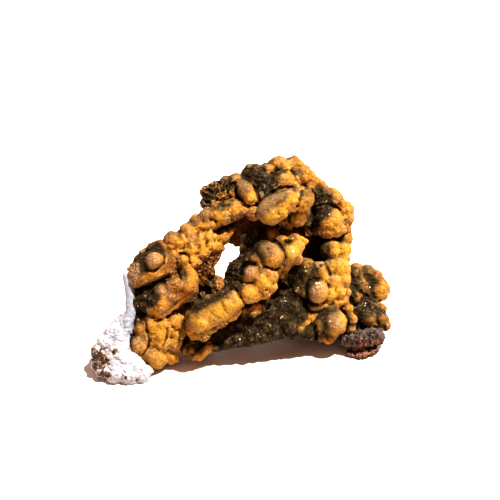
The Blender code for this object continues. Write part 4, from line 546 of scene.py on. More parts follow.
# Patches on the faces turned to the plane's front: (across, rise, radius, strength).
COAT = {  # olive-black coat
    "crown": [
        (-6.3, 32.6, 1.6, 0.9), (-5.0, 34.4, 1.4, 0.7), (-2.0, 35.2, 1.4, 0.9), (-1.2, 33.4, 1.2, 0.8),
        (2.6, 36.6, 2.0, 1.0), (4.4, 35.6, 2.0, 1.0), (3.4, 37.8, 1.2, 0.9), (5.2, 34.2, 1.3, 0.9),
        (6.6, 34.9, 1.0, 0.7), (1.0, 34.6, 1.0, 0.4), (12.0, 37.3, 1.3, 0.8), (11.4, 36.2, 1.0, 0.6),
        (15.0, 33.4, 1.8, 1.0), (17.0, 32.4, 2.0, 1.0), (15.8, 31.0, 1.8, 1.0), (18.3, 31.0, 1.4, 0.8),
        (15.2, 29.2, 1.6, 1.0), (16.4, 28.8, 1.4, 0.8), (14.8, 27.4, 1.0, 0.7), (13.6, 28.2, 1.1, 1.0),
        (13.8, 26.2, 1.0, 0.8), (7.6, 38.0, 1.0, 0.6), (9.6, 37.6, 0.8, 0.5), (12.8, 35.2, 0.8, 0.5),
        (18.6, 29.4, 1.2, 0.4), (4.6, 30.4, 1.6, 0.9), (6.4, 31.8, 1.5, 0.9), (8.2, 33.0, 1.3, 0.8),
        (2.8, 30.8, 1.0, 1.0), (2.9, 29.2, 0.8, 1.0), (14.3, 32.2, 1.2, 1.0), (13.9, 33.8, 0.9, 0.8),
        (13.6, 30.2, 1.1, 1.0), (14.4, 31.0, 1.0, 1.0), (16.6, 30.4, 1.6, 0.7), (17.8, 31.8, 1.3, 0.6),
        (4.4, 29.4, 1.2, 0.4),
    ],
    "right_column": [
        (11.0, 16.8, 1.6, 1.0), (13.0, 17.8, 2.0, 1.0), (15.4, 18.0, 1.6, 1.0), (12.4, 15.0, 1.8, 1.0),
        (13.8, 16.0, 1.6, 0.9), (10.6, 15.4, 1.2, 0.9), (17.4, 22.0, 1.2, 0.5), (17.3, 20.8, 1.2, 0.5),
        (17.2, 7.9, 1.6, 0.9), (16.4, 9.4, 1.4, 0.8), (17.0, 5.4, 1.5, 1.0), (18.4, 4.8, 1.2, 0.7),
        (14.0, 11.4, 1.2, 0.7), (12.4, 13.0, 1.3, 0.9), (20.6, 23.4, 0.9, 0.5), (20.6, 6.4, 0.9, 0.5),
        (22.0, 7.4, 1.3, 0.8), (21.4, 9.8, 1.2, 0.7), (21.0, 11.6, 1.0, 0.6), (22.2, 5.8, 1.0, 0.8),
        (18.0, 10.2, 1.2, 0.6), (17.6, 22.6, 1.2, 0.6), (19.6, 22.8, 1.0, 0.4), (18.0, 18.6, 1.0, 0.4),
        (18.4, 8.6, 2.0, 0.7),
    ],
    "middle_branch": [
        (-8.8, 10.1, 0.9, 0.6), (-6.6, 11.4, 0.9, 0.6), (-4.8, 12.4, 0.9, 0.7), (-2.8, 13.6, 0.9, 0.7),
        (-1.2, 14.8, 0.9, 0.7), (-10.0, 8.2, 0.7, 0.4), (5.0, 22.2, 1.6, 0.6), (4.6, 20.6, 1.2, 0.5),
        (1.4, 24.6, 1.4, 1.0), (3.2, 24.8, 1.4, 1.0), (4.6, 24.9, 1.2, 0.9), (2.4, 23.2, 1.6, 1.0),
        (8.3, 24.2, 1.0, 0.5), (10.9, 24.1, 0.8, 0.5), (-1.5, 18.5, 1.8, 1.0), (-1.0, 16.6, 1.6, 1.0),
        (-2.4, 15.4, 1.4, 1.0), (0.6, 20.8, 1.2, 0.9), (0.8, 19.0, 1.2, 0.8), (3.0, 22.0, 1.0, 0.8),
        (8.4, 22.6, 0.9, 0.5), (-8.0, 11.0, 1.0, 0.7), (5.2, 22.0, 1.7, 0.8), (1.6, 18.0, 1.2, 0.4),
    ],
    "left_arm": [
        (-4.5, 31.0, 0.9, 0.5), (-3.2, 31.5, 0.9, 0.45), (-1.8, 31.8, 0.9, 0.5), (-6.8, 29.4, 0.8, 0.4),
        (-6.4, 14.6, 2.2, 1.0), (-14.6, 24.6, 1.2, 0.5), (-11.4, 25.6, 0.9, 0.3), (-1.0, 27.6, 0.8, 0.5),
        (-4.0, 30.6, 1.4, 0.35), (-2.6, 30.4, 1.0, 0.25), (-8.6, 27.4, 0.8, 0.5), (2.4, 29.5, 0.8, 0.9),
        (-5.8, 28.0, 0.7, 0.5), (-12.8, 25.0, 0.9, 0.5),
    ],
    "left_leg": [
        (-20.2, 12.6, 1.6, 1.0), (-19.0, 11.0, 1.6, 1.0), (-19.8, 10.0, 1.3, 1.0), (-18.0, 13.2, 1.5, 0.9),
        (-17.2, 11.8, 1.1, 0.5), (-17.0, 22.4, 1.1, 0.8), (-18.8, 18.8, 1.1, 0.9), (-15.4, 18.4, 0.9, 0.7),
        (-15.3, 21.3, 1.0, 0.7), (-18.8, 20.8, 0.9, 0.6), (-20.0, 14.4, 0.9, 1.0), (-18.4, 15.0, 0.8, 1.0),
        (-16.6, 15.8, 0.8, 1.0), (-15.2, 16.5, 0.8, 1.0), (-11.3, 17.2, 1.3, 0.4), (-21.0, 8.6, 0.9, 0.9),
        (-20.8, 20.4, 1.0, 0.7), (-16.0, 12.6, 1.2, 0.5), (-15.0, 9.4, 0.9, 0.5), (-12.6, 10.4, 0.8, 0.5),
        (-18.4, 5.2, 0.7, 0.5), (-14.2, 2.0, 0.7, 0.5), (-16.0, 22.6, 0.9, 0.6), (-13.8, 20.0, 0.7, 0.4),
        (-21.2, 6.4, 0.9, 0.9), (-21.2, 4.4, 0.8, 0.7), (-16.4, 13.8, 1.0, 0.6),
    ],
    "quartz_foot": [
        (-23.2, 16.2, 1.6, 1.0), (-22.6, 13.6, 2.0, 1.0), (-22.2, 11.2, 2.0, 1.0), (-22.2, 8.8, 2.2, 1.0),
        (-22.4, 6.2, 2.4, 1.0), (-24.4, 4.9, 1.2, 0.8), (-24.8, 3.0, 1.0, 0.8), (-24.7, 1.8, 1.1, 0.9),
        (-26.4, 2.7, 0.8, 0.6), (-21.6, 3.4, 1.6, 0.8), (-21.2, 0.8, 1.4, 0.5), (-23.4, 10.2, 1.4, 0.9),
    ],
    "lower_crust": [
        (-3.0, 4.0, 2.4, 1.0), (0.4, 5.2, 3.0, 1.0), (4.0, 6.6, 3.4, 1.0), (8.0, 8.4, 3.2, 0.9),
        (11.0, 8.0, 2.0, 0.6), (9.0, 12.0, 2.4, 0.7), (7.0, 5.0, 2.0, 0.9), (13.6, 6.0, 1.4, 0.9),
        (-10.0, 2.4, 1.2, 1.0), (-7.6, 3.4, 1.0, 1.0), (-4.6, 2.2, 1.0, 0.7), (2.0, 3.6, 2.0, 1.0),
        (5.6, 4.6, 2.0, 1.0), (9.0, 5.8, 2.2, 1.0), (11.8, 9.6, 1.6, 1.0), (11.0, 11.6, 1.6, 1.0),
        (9.6, 14.0, 2.0, 1.0), (12.8, 12.2, 1.6, 0.8), (6.0, 9.4, 2.4, 1.0), (2.0, 7.4, 1.8, 1.0),
        (10.6, 5.0, 1.6, 1.0), (14.4, 5.4, 1.4, 1.0), (13.2, 4.8, 1.4, 1.0), (15.2, 6.6, 1.2, 0.9),
        (7.4, 4.4, 1.4, 0.9), (3.6, 3.4, 1.4, 0.8), (0.0, 3.0, 1.4, 0.8), (-2.4, 2.8, 1.2, 0.8),
        (13.0, 10.0, 1.4, 0.9), (-3.0, 2.2, 1.4, 0.9), (0.0, 2.4, 1.4, 1.0), (3.0, 2.8, 1.4, 1.0),
        (5.6, 3.4, 1.4, 1.0), (8.0, 3.9, 1.4, 1.0), (10.2, 4.4, 1.4, 1.0), (12.4, 4.6, 1.4, 1.0),
    ],
    "back_lobe": [
        (24.0, 17.0, 1.6, 0.9), (25.8, 17.4, 1.4, 0.8), (23.2, 12.7, 1.4, 0.9), (22.6, 15.0, 1.2, 0.6),
        (26.3, 10.6, 1.2, 0.9), (25.3, 8.0, 2.0, 1.0), (28.8, 7.5, 1.4, 0.9), (29.8, 6.2, 1.0, 0.9),
        (22.3, 8.4, 1.6, 1.0), (22.3, 6.4, 1.4, 1.0), (24.2, 10.6, 1.6, 0.8), (22.8, 10.4, 1.2, 0.8),
        (27.0, 8.4, 1.4, 0.9), (22.8, 14.0, 2.0, 0.9), (23.6, 10.4, 2.4, 0.9), (25.0, 8.0, 2.6, 1.0),
        (28.8, 8.6, 1.8, 0.9), (23.0, 7.2, 2.2, 1.0), (25.4, 11.6, 1.4, 0.7), (26.0, 16.9, 1.4, 0.6),
        (24.8, 14.2, 1.2, 0.8), (26.4, 12.4, 1.0, 0.7), (26.8, 15.9, 1.2, 0.7), (24.6, 6.4, 1.8, 1.0),
        (27.2, 6.6, 1.6, 0.9), (30.0, 6.8, 1.2, 0.9), (22.4, 12.2, 1.4, 0.8), (22.0, 16.4, 1.4, 0.8),
        (27.4, 10.4, 1.4, 0.8), (25.6, 10.2, 1.4, 0.9), (27.0, 15.0, 1.2, 0.5), (28.0, 9.0, 1.2, 0.8),
    ],
}
FROST = {  # pale grit, partly a painted sheen on the tops of the knobs
    "crown": [
        (4.6, 30.6, 1.6, 0.9), (6.2, 31.8, 1.5, 0.9), (8.0, 33.0, 1.4, 0.9), (9.8, 33.6, 1.0, 0.7),
        (3.8, 29.2, 1.1, 0.6), (5.4, 28.6, 0.9, 0.4), (0.4, 34.6, 1.4, 0.8), (-0.8, 36.2, 0.9, 0.8),
        (1.9, 38.9, 0.7, 0.8), (0.2, 32.6, 1.0, 0.5), (17.6, 28.6, 1.8, 0.4), (15.6, 25.9, 1.0, 0.4),
        (17.6, 25.6, 1.2, 0.5), (16.6, 32.6, 1.8, 0.55), (19.8, 32.6, 0.9, 0.6), (-5.4, 33.2, 1.4, 0.4),
        (14.6, 35.6, 0.8, 0.4), (-3.4, 34.6, 1.2, 0.3), (9.0, 36.2, 1.4, 0.3), (20.8, 29.6, 1.2, 0.3),
        (3.2, 36.8, 2.0, 0.3), (12.6, 32.8, 1.2, 0.3),
    ],
    "right_column": [
        (15.5, 13.8, 2.2, 1.0), (18.8, 7.6, 2.3, 1.0), (15.2, 11.4, 1.4, 0.5), (18.4, 21.8, 1.6, 0.3),
        (13.4, 18.6, 0.7, 0.4), (19.6, 17.0, 2.2, 0.4), (19.8, 20.6, 1.4, 0.4),
    ],
    "middle_branch": [
        (2.1, 17.4, 1.7, 0.9), (5.6, 22.4, 2.2, 0.7), (7.6, 20.8, 1.3, 0.5), (3.0, 20.3, 1.5, 0.6),
        (5.6, 21.4, 2.0, 0.4), (-5.0, 9.0, 2.4, 0.3), (10.6, 21.6, 1.4, 0.3), (-8.4, 7.0, 1.4, 0.4),
        (8.3, 24.3, 0.8, 0.5),
    ],
    "left_arm": [
        (-13.0, 24.2, 1.3, 0.5), (-8.8, 28.0, 0.9, 0.6), (-6.6, 28.9, 1.3, 0.6), (-4.6, 30.6, 0.8, 0.5),
        (-3.0, 31.0, 0.9, 0.4), (-10.0, 26.6, 1.2, 0.4), (-14.6, 24.8, 0.8, 0.5), (-6.8, 18.6, 1.2, 0.3),
        (-8.0, 12.6, 1.2, 0.3), (-11.3, 20.2, 0.9, 0.3),
    ],
    "left_leg": [
        (-16.9, 19.9, 1.9, 1.0), (-21.1, 17.4, 1.5, 0.9), (-20.6, 18.9, 1.0, 0.8), (-21.4, 15.8, 1.1, 0.8),
        (-15.0, 13.9, 1.6, 0.8), (-10.9, 16.0, 1.6, 0.5), (-20.0, 3.4, 1.8, 0.8), (-17.0, 0.6, 2.2, 0.6),
        (-14.6, 22.4, 1.0, 0.5), (-12.9, 14.6, 1.2, 0.3), (-17.2, 22.8, 1.0, 0.4), (-17.6, 7.4, 1.2, 0.3),
        (-19.0, 16.0, 1.2, 0.4), (-12.9, 8.0, 1.2, 0.4), (-18.6, 4.8, 1.4, 0.3),
    ],
    "lower_crust": [
        (-2.0, 2.4, 1.0, 0.5), (1.6, 3.0, 1.0, 0.5), (5.0, 3.7, 1.0, 0.5), (8.6, 4.4, 1.0, 0.5),
    ],
    "back_lobe": [(27.6, 14.2, 1.4, 0.3), (24.4, 16.4, 1.2, 0.3), (25.6, 8.2, 1.4, 0.3)],
}
GOLD = {  # brighter, yellower ochre: partly fresher skin, partly painted light on lit faces
    "crown": [
        (8.0, 30.0, 3.4, 0.9), (5.4, 28.6, 1.6, 0.9), (12.0, 31.8, 1.8, 1.0), (11.2, 28.4, 1.6, 1.0),
        (9.8, 27.0, 0.8, 0.8), (8.6, 35.0, 2.2, 0.5), (9.6, 39.4, 2.2, 0.6), (2.4, 32.2, 1.4, 0.6),
        (20.4, 28.0, 2.6, 0.5), (18.6, 26.4, 1.8, 0.5), (1.7, 35.1, 0.35, 1.0),
    ],
    "right_column": [
        (19.6, 20.0, 2.4, 1.0), (19.4, 16.6, 3.0, 1.0), (18.6, 12.8, 2.6, 1.0), (20.0, 23.6, 2.0, 0.7),
        (17.6, 15.6, 1.6, 0.9), (20.4, 9.0, 1.6, 0.6), (16.8, 11.0, 2.0, 1.0), (19.8, 7.6, 1.2, 0.6),
    ],
    "middle_branch": [
        (-6.6, 7.6, 2.6, 0.9), (-3.0, 10.0, 2.4, 0.9), (-0.2, 12.2, 1.6, 0.9), (5.0, 16.0, 2.4, 0.7),
        (2.0, 13.6, 1.8, 0.7), (9.8, 21.6, 2.2, 0.8), (6.2, 24.8, 1.0, 0.9), (12.6, 24.0, 1.2, 0.9),
        (6.4, 19.6, 1.4, 0.5),
    ],
    "left_arm": [
        (-10.4, 22.2, 2.6, 0.9), (-6.4, 24.6, 2.4, 0.9), (-4.2, 24.2, 1.4, 0.9), (-2.6, 28.4, 2.2, 0.8),
    ],
    "left_leg": [
        (-17.6, 6.6, 2.4, 0.8), (-14.4, 5.0, 2.4, 0.8), (-10.0, 15.6, 1.6, 0.5), (-18.6, 2.6, 2.0, 0.6),
        (-15.6, 0.6, 2.0, 0.6), (-13.6, 8.6, 1.6, 0.5), (-18.8, 9.0, 1.0, 0.5),
    ],
    "lower_crust": [
        (-6.4, 2.4, 1.4, 0.8), (-8.6, 0.8, 1.2, 0.8), (13.4, 7.8, 1.4, 0.7), (12.0, 6.4, 1.2, 0.7),
    ],
    "back_lobe": [(28.4, 13.6, 1.6, 0.4), (28.4, 10.2, 1.0, 0.4)],
}
BARE = {  # places that the coat of its branch leaves free
    "lower_crust": [
        (-6.3, 2.6, 1.1, 1.0), (-8.8, 0.8, 1.1, 1.0), (-7.4, 1.4, 0.9, 0.9), (13.8, 8.2, 0.9, 1.0),
        (12.4, 6.8, 0.8, 1.0), (0.9, 10.0, 1.0, 0.6), (3.6, 10.5, 1.0, 0.6),
    ],
    "right_column": [(16.2, 16.8, 0.9, 0.7)],
}
OPEN = {  # places where the painted shade of sheltered hollows is held back, so their skin stays lighter
    "middle_branch": [(1.4, 24.6, 1.8, 0.5), (4.4, 24.6, 1.8, 0.5), (6.2, 25.0, 1.2, 0.7)],
    "lower_crust": [(-6.2, 2.4, 2.0, 0.6), (-8.8, 1.0, 1.4, 0.5)],
    "crown": [(11.4, 28.6, 1.8, 0.5), (9.8, 27.2, 1.2, 0.5)],
}
STAIN = {  # brown earthy pits in the quartz, and rusty places in the matrix
    "quartz_foot": [
        (-28.4, 0.6, 1.8, 1.0), (-27.2, 0.0, 1.4, 1.0), (-28.9, 1.8, 1.0, 0.9), (-27.4, -2.5, 1.1, 1.0),
        (-28.6, -1.2, 0.8, 0.9), (-26.0, -2.8, 0.8, 0.9), (-22.5, -3.2, 0.5, 0.9), (-24.6, 1.9, 0.8, 0.75),
        (-24.6, 2.8, 0.6, 0.4), (-25.1, 3.7, 0.6, 0.4), (-26.4, 2.7, 0.6, 0.4), (-24.0, 9.2, 0.5, 0.8),
        (-28.0, -4.0, 1.6, 0.35), (-24.4, -3.8, 1.6, 0.3), (-20.8, -3.6, 1.6, 0.35), (-29.4, 3.0, 1.2, 0.3),
        (-24.8, 8.4, 1.2, 0.3), (-26.6, 6.0, 1.0, 0.25), (-18.8, -2.2, 1.2, 0.35),
    ],
    "matrix_base": [
        (24.2, 3.9, 0.5, 1.0), (21.4, 3.0, 1.0, 0.4), (27.4, 3.4, 1.4, 0.6), (24.4, 2.9, 1.6, 0.3),
        (23.0, 1.2, 2.0, 0.6), (26.0, 1.4, 1.6, 0.6),
    ],
}
PAINTED_GLINTS = {  # painted glints: tiny pale cream spots where highlights fall: (across, rise, radius)
    "lower_crust": [
        (0.0, 4.3, 0.2), (1.9, 6.0, 0.13), (4.0, 4.8, 0.13), (4.3, 6.0, 0.18), (6.0, 7.1, 0.15),
        (8.2, 8.5, 0.25), (8.4, 8.8, 0.2),
    ],
    "right_column": [
        (12.9, 18.6, 0.2), (13.1, 17.8, 0.2), (14.1, 18.1, 0.13), (15.7, 18.7, 0.13), (11.2, 13.8, 0.2),
        (11.5, 14.1, 0.2), (11.6, 14.5, 0.15), (17.9, 7.9, 0.3), (15.2, 15.4, 0.25), (15.8, 15.5, 0.2),
    ],
    "middle_branch": [
        (-2.9, 12.9, 0.12), (-0.9, 13.6, 0.12), (0.8, 15.3, 0.15), (5.5, 12.9, 0.2), (9.4, 22.7, 0.13),
        (11.2, 22.7, 0.13), (10.5, 24.3, 0.2), (6.5, 24.7, 0.2), (10.5, 21.8, 0.35),
    ],
    "crown": [(17.8, 29.1, 0.2), (18.3, 28.4, 0.15)],
    "back_lobe": [
        (26.2, 14.5, 0.2), (27.3, 13.8, 0.2), (26.6, 10.4, 0.2), (25.9, 5.9, 0.13), (29.4, 7.0, 0.13),
    ],
    "left_leg": [(-16.7, 8.2, 0.15), (-20.1, 8.2, 0.2), (-20.2, 10.9, 0.15)],
}
CRUMBLE = {  # places broken down to gritty rubble
    "left_arm": [
        (-6.6, 18.4, 2.0, 1.0), (-8.2, 12.6, 1.8, 1.0), (-5.2, 15.0, 1.4, 1.0), (-5.0, 20.6, 1.2, 0.8),
        (-1.6, 27.6, 1.6, 0.6), (0.8, 28.6, 1.2, 0.5),
    ],
    "middle_branch": [
        (-1.6, 19.0, 2.0, 0.8), (-2.2, 16.0, 1.8, 0.8), (-7.0, 4.6, 2.0, 0.6), (-3.0, 6.8, 2.0, 0.6),
        (5.0, 13.4, 1.2, 0.7), (8.0, 18.8, 1.6, 0.6),
    ],
    "crown": [
        (-6.2, 32.8, 2.2, 1.0), (-4.0, 33.8, 2.0, 0.8), (-1.6, 34.8, 1.6, 0.5), (4.2, 36.6, 1.8, 0.4),
        (9.0, 28.0, 1.4, 0.5), (13.6, 26.0, 1.4, 0.5), (2.6, 30.4, 1.2, 0.5),
    ],
    "left_leg": [
        (-21.2, 18.4, 1.2, 0.7), (-12.0, 9.6, 1.4, 0.6), (-11.8, 4.6, 1.2, 0.5), (-19.6, 21.0, 1.0, 0.5),
    ],
    "matrix_base": [(24.4, 4.0, 5.0, 0.8)],
}
SHADE_SIDE = (0.6 * UP_PLANE - 0.8 * RIGHT).normalized()  # the side painted as shaded, up and to the left: the coat lies thicker on faces turned this way, partly as painted shade
SHADE_SIDE_COAT = {  # by how much
    "crown": 0.65, "right_column": 0.55, "rear_column": 0.5, "middle_branch": 0.5, "left_arm": 0.42,
    "left_leg": 0.48, "lower_crust": 0.1, "back_lobe": 0.42, "matrix_base": 0.0, "quartz_foot": 0.0,
}
PATCH_CORE = 0.1  # a patch is full within this share of its radius
PATCH_RIM = 1.7  # and gone beyond this share
PATCH_WARP = (1.3, 0.55)  # how far its outline strays in millimetres, and how often a millimetre
WARP_SHIFTS = ((3.1, 7.9, 1.7), (11.3, 2.3, 5.9))  # where its noise is read, for across and for rise
SHELTER_RAYS = 48
SHELTER_GRAZE = 0.05  # a ray that leaves flatter than this doesn't count
SHELTER_NEAREST = 4  # corners that each point is worked out from
SHELTER_BLUR = 0.3  # the higher, the more alike they count
SHELTER_START = 0.4  # how far out of the skin a ray starts
SHELTER_REACH = 14.0  # what stands within this distance shelters the skin
SEALED = 0.04  # a solid's corner that sees less than this lies hidden in a fork
COBBLE_SPACE = 0.80  # domes stand this share of their summed radii apart
COBBLE_MISSES = 400  # tries in a row that find no room, before a skin counts as full
COBBLE_POWER = 1.6  # the higher, the more small domes among them
COBBLE_DROP = 0.8  # the gaps lie lower by this share of the smallest dome's height
NEIGHBOURS = tuple(itertools.product((-1, 0, 1), repeat=3))
SMOOTH_SHARE = 0.9  # of the domes' height is lost where the skin is smooth
FRONT_FADE = (-0.45, 0.0)  # how much a face leans out of the plane: from hidden to full front
CARVE_FADE = (-0.1, 0.3)  # the same for strokes
BOX_MARGIN = 3.0  # the outermost millimetres, which are drawn in a little
BOX_DRAW = 0.12
GRIT_WAVES = 2.6  # a millimetre
FINE_GRIT = (5.3, 0.7)  # waves a millimetre, and height as a share of the grit's
RUBBLE_GRIT = 4.0  # how much rougher crumbled places are
RUBBLE_WAVES = 1.1
RUBBLE_CHUNKS = 0.9  # height of their chunks
RUBBLE_LEVEL = 0.3  # the higher, the less of a crumbled place is cut away
RESTING = 0.5  # height over which the domes grow in above the resting plane
RESTS_BELOW = 0.01  # what lies lower is part of a resting flat
SOFTENING = 3
SOFT_SHARE = 0.6  # how far one round draws a point to the mean of its neighbours
HOLLOW_FINE = (8, 0.16)  # rounds of softening, and the depth that counts as a full crease
HOLLOW_BROAD = (60, 0.6)
SHADE_SIDE_ROUNDS = 20
COAT_ROUNDS = 36
COAT_LEVEL = 0.85  # strength of the listed patches on a face turned neither way
COAT_RANGE = (-0.4, 1.2)
FAR_COAT = (0.16, 0.42, 0.75)  # clouds on the sides turned away: waves a millimetre, level and swing
SEAM_DARK = 0.85  # how dark the painted shade in a seam is against that in a cut
FAR_AWAY = 1e9
WELD = 1e-6
CUT_SLACK = 1e-7


def colour(name, description, default):
    """One colour among the settings."""
    return bpy.props.FloatVectorProperty(
        name=name, description=description, default=default, size=3, min=0, max=1, subtype="COLOR"
    )


def strength(name, description, default):
    """The strength of one light among the settings."""
    return bpy.props.FloatProperty(name=name, description=description, default=default, min=0.0)


class MOTTRAMITE_PG_specimen(bpy.types.PropertyGroup):
    """Sizes and colours of the specimen."""

    voxel: bpy.props.FloatProperty(
        name="Fineness", description="Edge of the finest surface detail", default=0.2 * MM, min=0.1 * MM,
        subtype="DISTANCE", unit="LENGTH", precision=5,
    )
    relief: bpy.props.FloatProperty(
        name="Relief", description="Height of the small domes as a share of the usual", default=1.0, min=0.0,
        subtype="FACTOR",
    )
    ochre: colour("Ochre", "Bare mineral skin", (0.37, 0.168, 0.022))
    # Umber is also the painted shade of the creases and broad hollows.
    umber: colour("Umber", "Older, browner skin and creases", (0.17, 0.066, 0.012))
    # Gold is partly painted light on the lit faces.
    gold: colour("Gold", "Fresh, bright skin", (0.485, 0.272, 0.035))
    # Tan is also the painted highlight on the tops and the painted light on the lower-right faces.
    tan: colour("Tan", "Worn tops of the lumps", (0.44, 0.29, 0.14))
    dusk: colour("Dusk", "Grey-brown ground of the frosted knobs", (0.25, 0.15, 0.075))
    # Frost is partly a painted sheen on the tops of the knobs.
    frost: colour("Frost", "Pale grit on the knobs", (0.46, 0.335, 0.22))
    coat: colour("Coat", "Olive-black coat", (0.020, 0.0132, 0.0062))
    olive: colour("Olive", "Greener, thinner coat", (0.085, 0.058, 0.022))
    rock: colour("Rock", "Purple-grey matrix", (0.055, 0.037, 0.027))
    rust: colour("Rust", "Rusty matrix", (0.20, 0.075, 0.035))
    quartz: colour("Quartz", "Frosty quartz", (0.40, 0.405, 0.425))
    lamp: strength("Key light", "Strength of the key light", 6.4)
    side: strength("Side light", "Strength of the broad light from the right", 1.8)
    rear: strength("Rear light", "Strength of the faint light from behind on the left", 0.3)
    sky: strength("Soft light", "Strength of the light from all round", 0.5)


def place(across, rise, out):
    """A point of the leaning plane, in the specimen's frame, in millimetres."""
    return LAYOUT_FOOT + RIGHT * across + UP_PLANE * rise + OUT_OF_PLANE * out


def add_slab(bm, balls, fineness):
    """Adds the rounded skin around a few balls, each (middle, radius) in millimetres."""
    for middle, radius in balls:
        bmesh.ops.create_icosphere(
            bm, subdivisions=fineness, radius=radius * MM, matrix=Matrix.Translation(middle * MM)
        )
    if len(balls) > 1:
        hull = bmesh.ops.convex_hull(bm, input=list(bm.verts))
        inside = hull["geom_interior"] + hull["geom_unused"]
        verts = {item for item in inside if isinstance(item, bmesh.types.BMVert)}
        bmesh.ops.delete(bm, geom=list(verts), context="VERTS")


def fused(name, slabs, voxel, fineness=2):
    """One closed surface around all the slabs; voxel in millimetres."""
    mesh = bpy.data.meshes.new(name)
    whole = bmesh.new()
    for balls in slabs:
        bm = bmesh.new()
        add_slab(bm, balls, fineness)
        bm.to_mesh(mesh)
        bm.free()
        whole.from_mesh(mesh)
    whole.to_mesh(mesh)
    whole.free()
    body = bpy.data.objects.new(name, mesh)
    bpy.context.scene.collection.objects.link(body)
    remesh = body.modifiers.new("fuse", "REMESH")
    remesh.mode = "VOXEL"
    remesh.voxel_size = voxel * MM
    settle(body)
    return body


def settle(body):
    """Applies a body's modifiers."""
    bpy.context.view_layer.update()
    graph = bpy.context.evaluated_depsgraph_get()
    mesh = bpy.data.meshes.new_from_object(body.evaluated_get(graph))
    body.modifiers.clear()
    body.data = mesh


def body_slabs(name):
    """A branch's slabs, with their balls placed in the specimen's frame."""
    return [[(place(*ball[:3]), ball[3]) for ball in slab] for slab in BODIES[name]]


def broadened(radius):
    """A wider, flatter lump whose tip stands as high: its radius and how deep its middle lies."""
    wide = BROADEN * radius
    return wide, wide - (1.0 - LUMP_SINK) * radius


def beside_edge(tree, across, rise):
    """A place beside the body, as far out of the plane as the body's nearest edge."""
    middle = place(across, rise, 0.0)
    near = tree.find_nearest(middle * MM)[0]
    for _ in range(EDGE_ROUNDS):
        middle = place(across, rise, (near / MM - LAYOUT_FOOT).dot(OUT_OF_PLANE))
        near = tree.find_nearest(middle * MM)[0]
    return middle


def on_face(tree, across, rise, radius, lift=0.0):
    """A lump sunk a little into the body's face, or beside its nearest edge; a lifted one stays a ball."""
    start = place(across, rise, REACH) * MM
    hit = tree.ray_cast(start, -OUT_OF_PLANE)[0]
    if hit is None:
        return beside_edge(tree, across, rise), radius
    sink = LUMP_SINK * radius
    if lift == 0.0:
        radius, sink = broadened(radius)
    return hit / MM + OUT_OF_PLANE * (lift - sink), radius


def front_slabs(name, tree):
    """The listed lumps and swellings of a branch."""
    single = [[on_face(tree, *lump)] for lump in LUMPS.get(name, [])]
    chains = [[on_face(tree, *ball) for ball in swell] for swell in SWELLS.get(name, [])]
    return single + [[first, second] for chain in chains for first, second in zip(chain, chain[1:])]


def far_slabs(name, body, front):
    """Lumps spread over the faces turned away from the plane, clear of each other's middles."""
    smallest, largest = FAR_LUMPS[name]
    draw = random.Random(name)
    faces = body.data.polygons
    taken = [ball for slab in front for ball in slab]
    made = []
    for _ in range(FAR_TRIES):
        face = faces[draw.randrange(len(faces))]
        radius = draw.uniform(smallest, largest)
        facing = face.normal.dot(OUT_OF_PLANE)
        if facing > -FAR_FACING:
            radius *= FAR_EDGE
        middle = face.center / MM - face.normal * radius * LUMP_SINK
        crowded = any((middle - spot).length < FAR_SPACE * (radius + size) for spot, size in taken)
        drip = name == "quartz_foot" and middle.z > DRIP_RISE
        across, rise = (middle - LAYOUT_FOOT).dot(RIGHT), (middle - LAYOUT_FOOT).dot(UP_PLANE)
        hole = math.hypot(across - HOLE[0], rise - HOLE[1]) < HOLE[2]
        if facing < FAR_FACING and not (crowded or drip or hole) and middle.z > FAR_CLEAR * radius:
            wide, depth = broadened(radius)
            taken.append((middle, radius))
            made.append([(face.center / MM - face.normal * depth, wide)])
    return made


def branch_slabs(name):
    """Everything a branch is fused from: its body, its listed lumps and those of its far side."""
    body = fused(f"{name}_body", body_slabs(name), BODY_VOXEL)
    tree = BVHTree.FromPolygons(
        [vert.co for vert in body.data.vertices], [face.vertices for face in body.data.polygons]
    )
    front = front_slabs(name, tree)
    slabs = body_slabs(name) + front + far_slabs(name, body, front)
    bpy.data.objects.remove(body)
    return slabs


def drop_loose_parts(bm):
    """Deletes every part but the largest."""
    left = set(bm.verts)
    parts = []
    while left:
        part = [left.pop()]
        for vert in part:
            near = {edge.other_vert(vert) for edge in vert.link_edges} & left
            left -= near
            part += sorted(near, key=lambda item: item.index)
        parts.append(part)
    parts.sort(key=len)
    bmesh.ops.delete(bm, geom=[vert for part in parts[:-1] for vert in part], context="VERTS")


def cut_at_rest(body):
    """Cuts away what lies under the resting plane, closes the cut and leaves one part."""
    bm = bmesh.new()
    bm.from_mesh(body.data)
    cut = bmesh.ops.bisect_plane(
        bm, geom=list(bm.verts) + list(bm.edges) + list(bm.faces), dist=CUT_SLACK,
        plane_co=(0.0, 0.0, 0.0), plane_no=(0.0, 0.0, 1.0), clear_inner=True,
    )
    rim = [item for item in cut["geom_cut"] if isinstance(item, bmesh.types.BMEdge)]
    if rim:
        bmesh.ops.triangle_fill(bm, use_beauty=True, use_dissolve=False, edges=rim)
        bmesh.ops.recalc_face_normals(bm, faces=list(bm.faces))
    drop_loose_parts(bm)
    bm.to_mesh(body.data)
    bm.free()


def points_of(mesh):
    """The mesh's points in millimetres, one a row."""
    values = np.empty(len(mesh.vertices) * 3)
    mesh.vertices.foreach_get("co", values)
    return values.reshape(-1, 3) / MM


def normals_of(mesh):
    """The mesh's normals at its points."""
    values = np.empty(len(mesh.vertices) * 3)
    mesh.vertex_normals.foreach_get("vector", values)
    return values.reshape(-1, 3)


def move_points(mesh, points):
    """Puts the mesh's points where the rows say, in millimetres."""
    mesh.vertices.foreach_set("co", (points * MM).ravel())
    mesh.update()


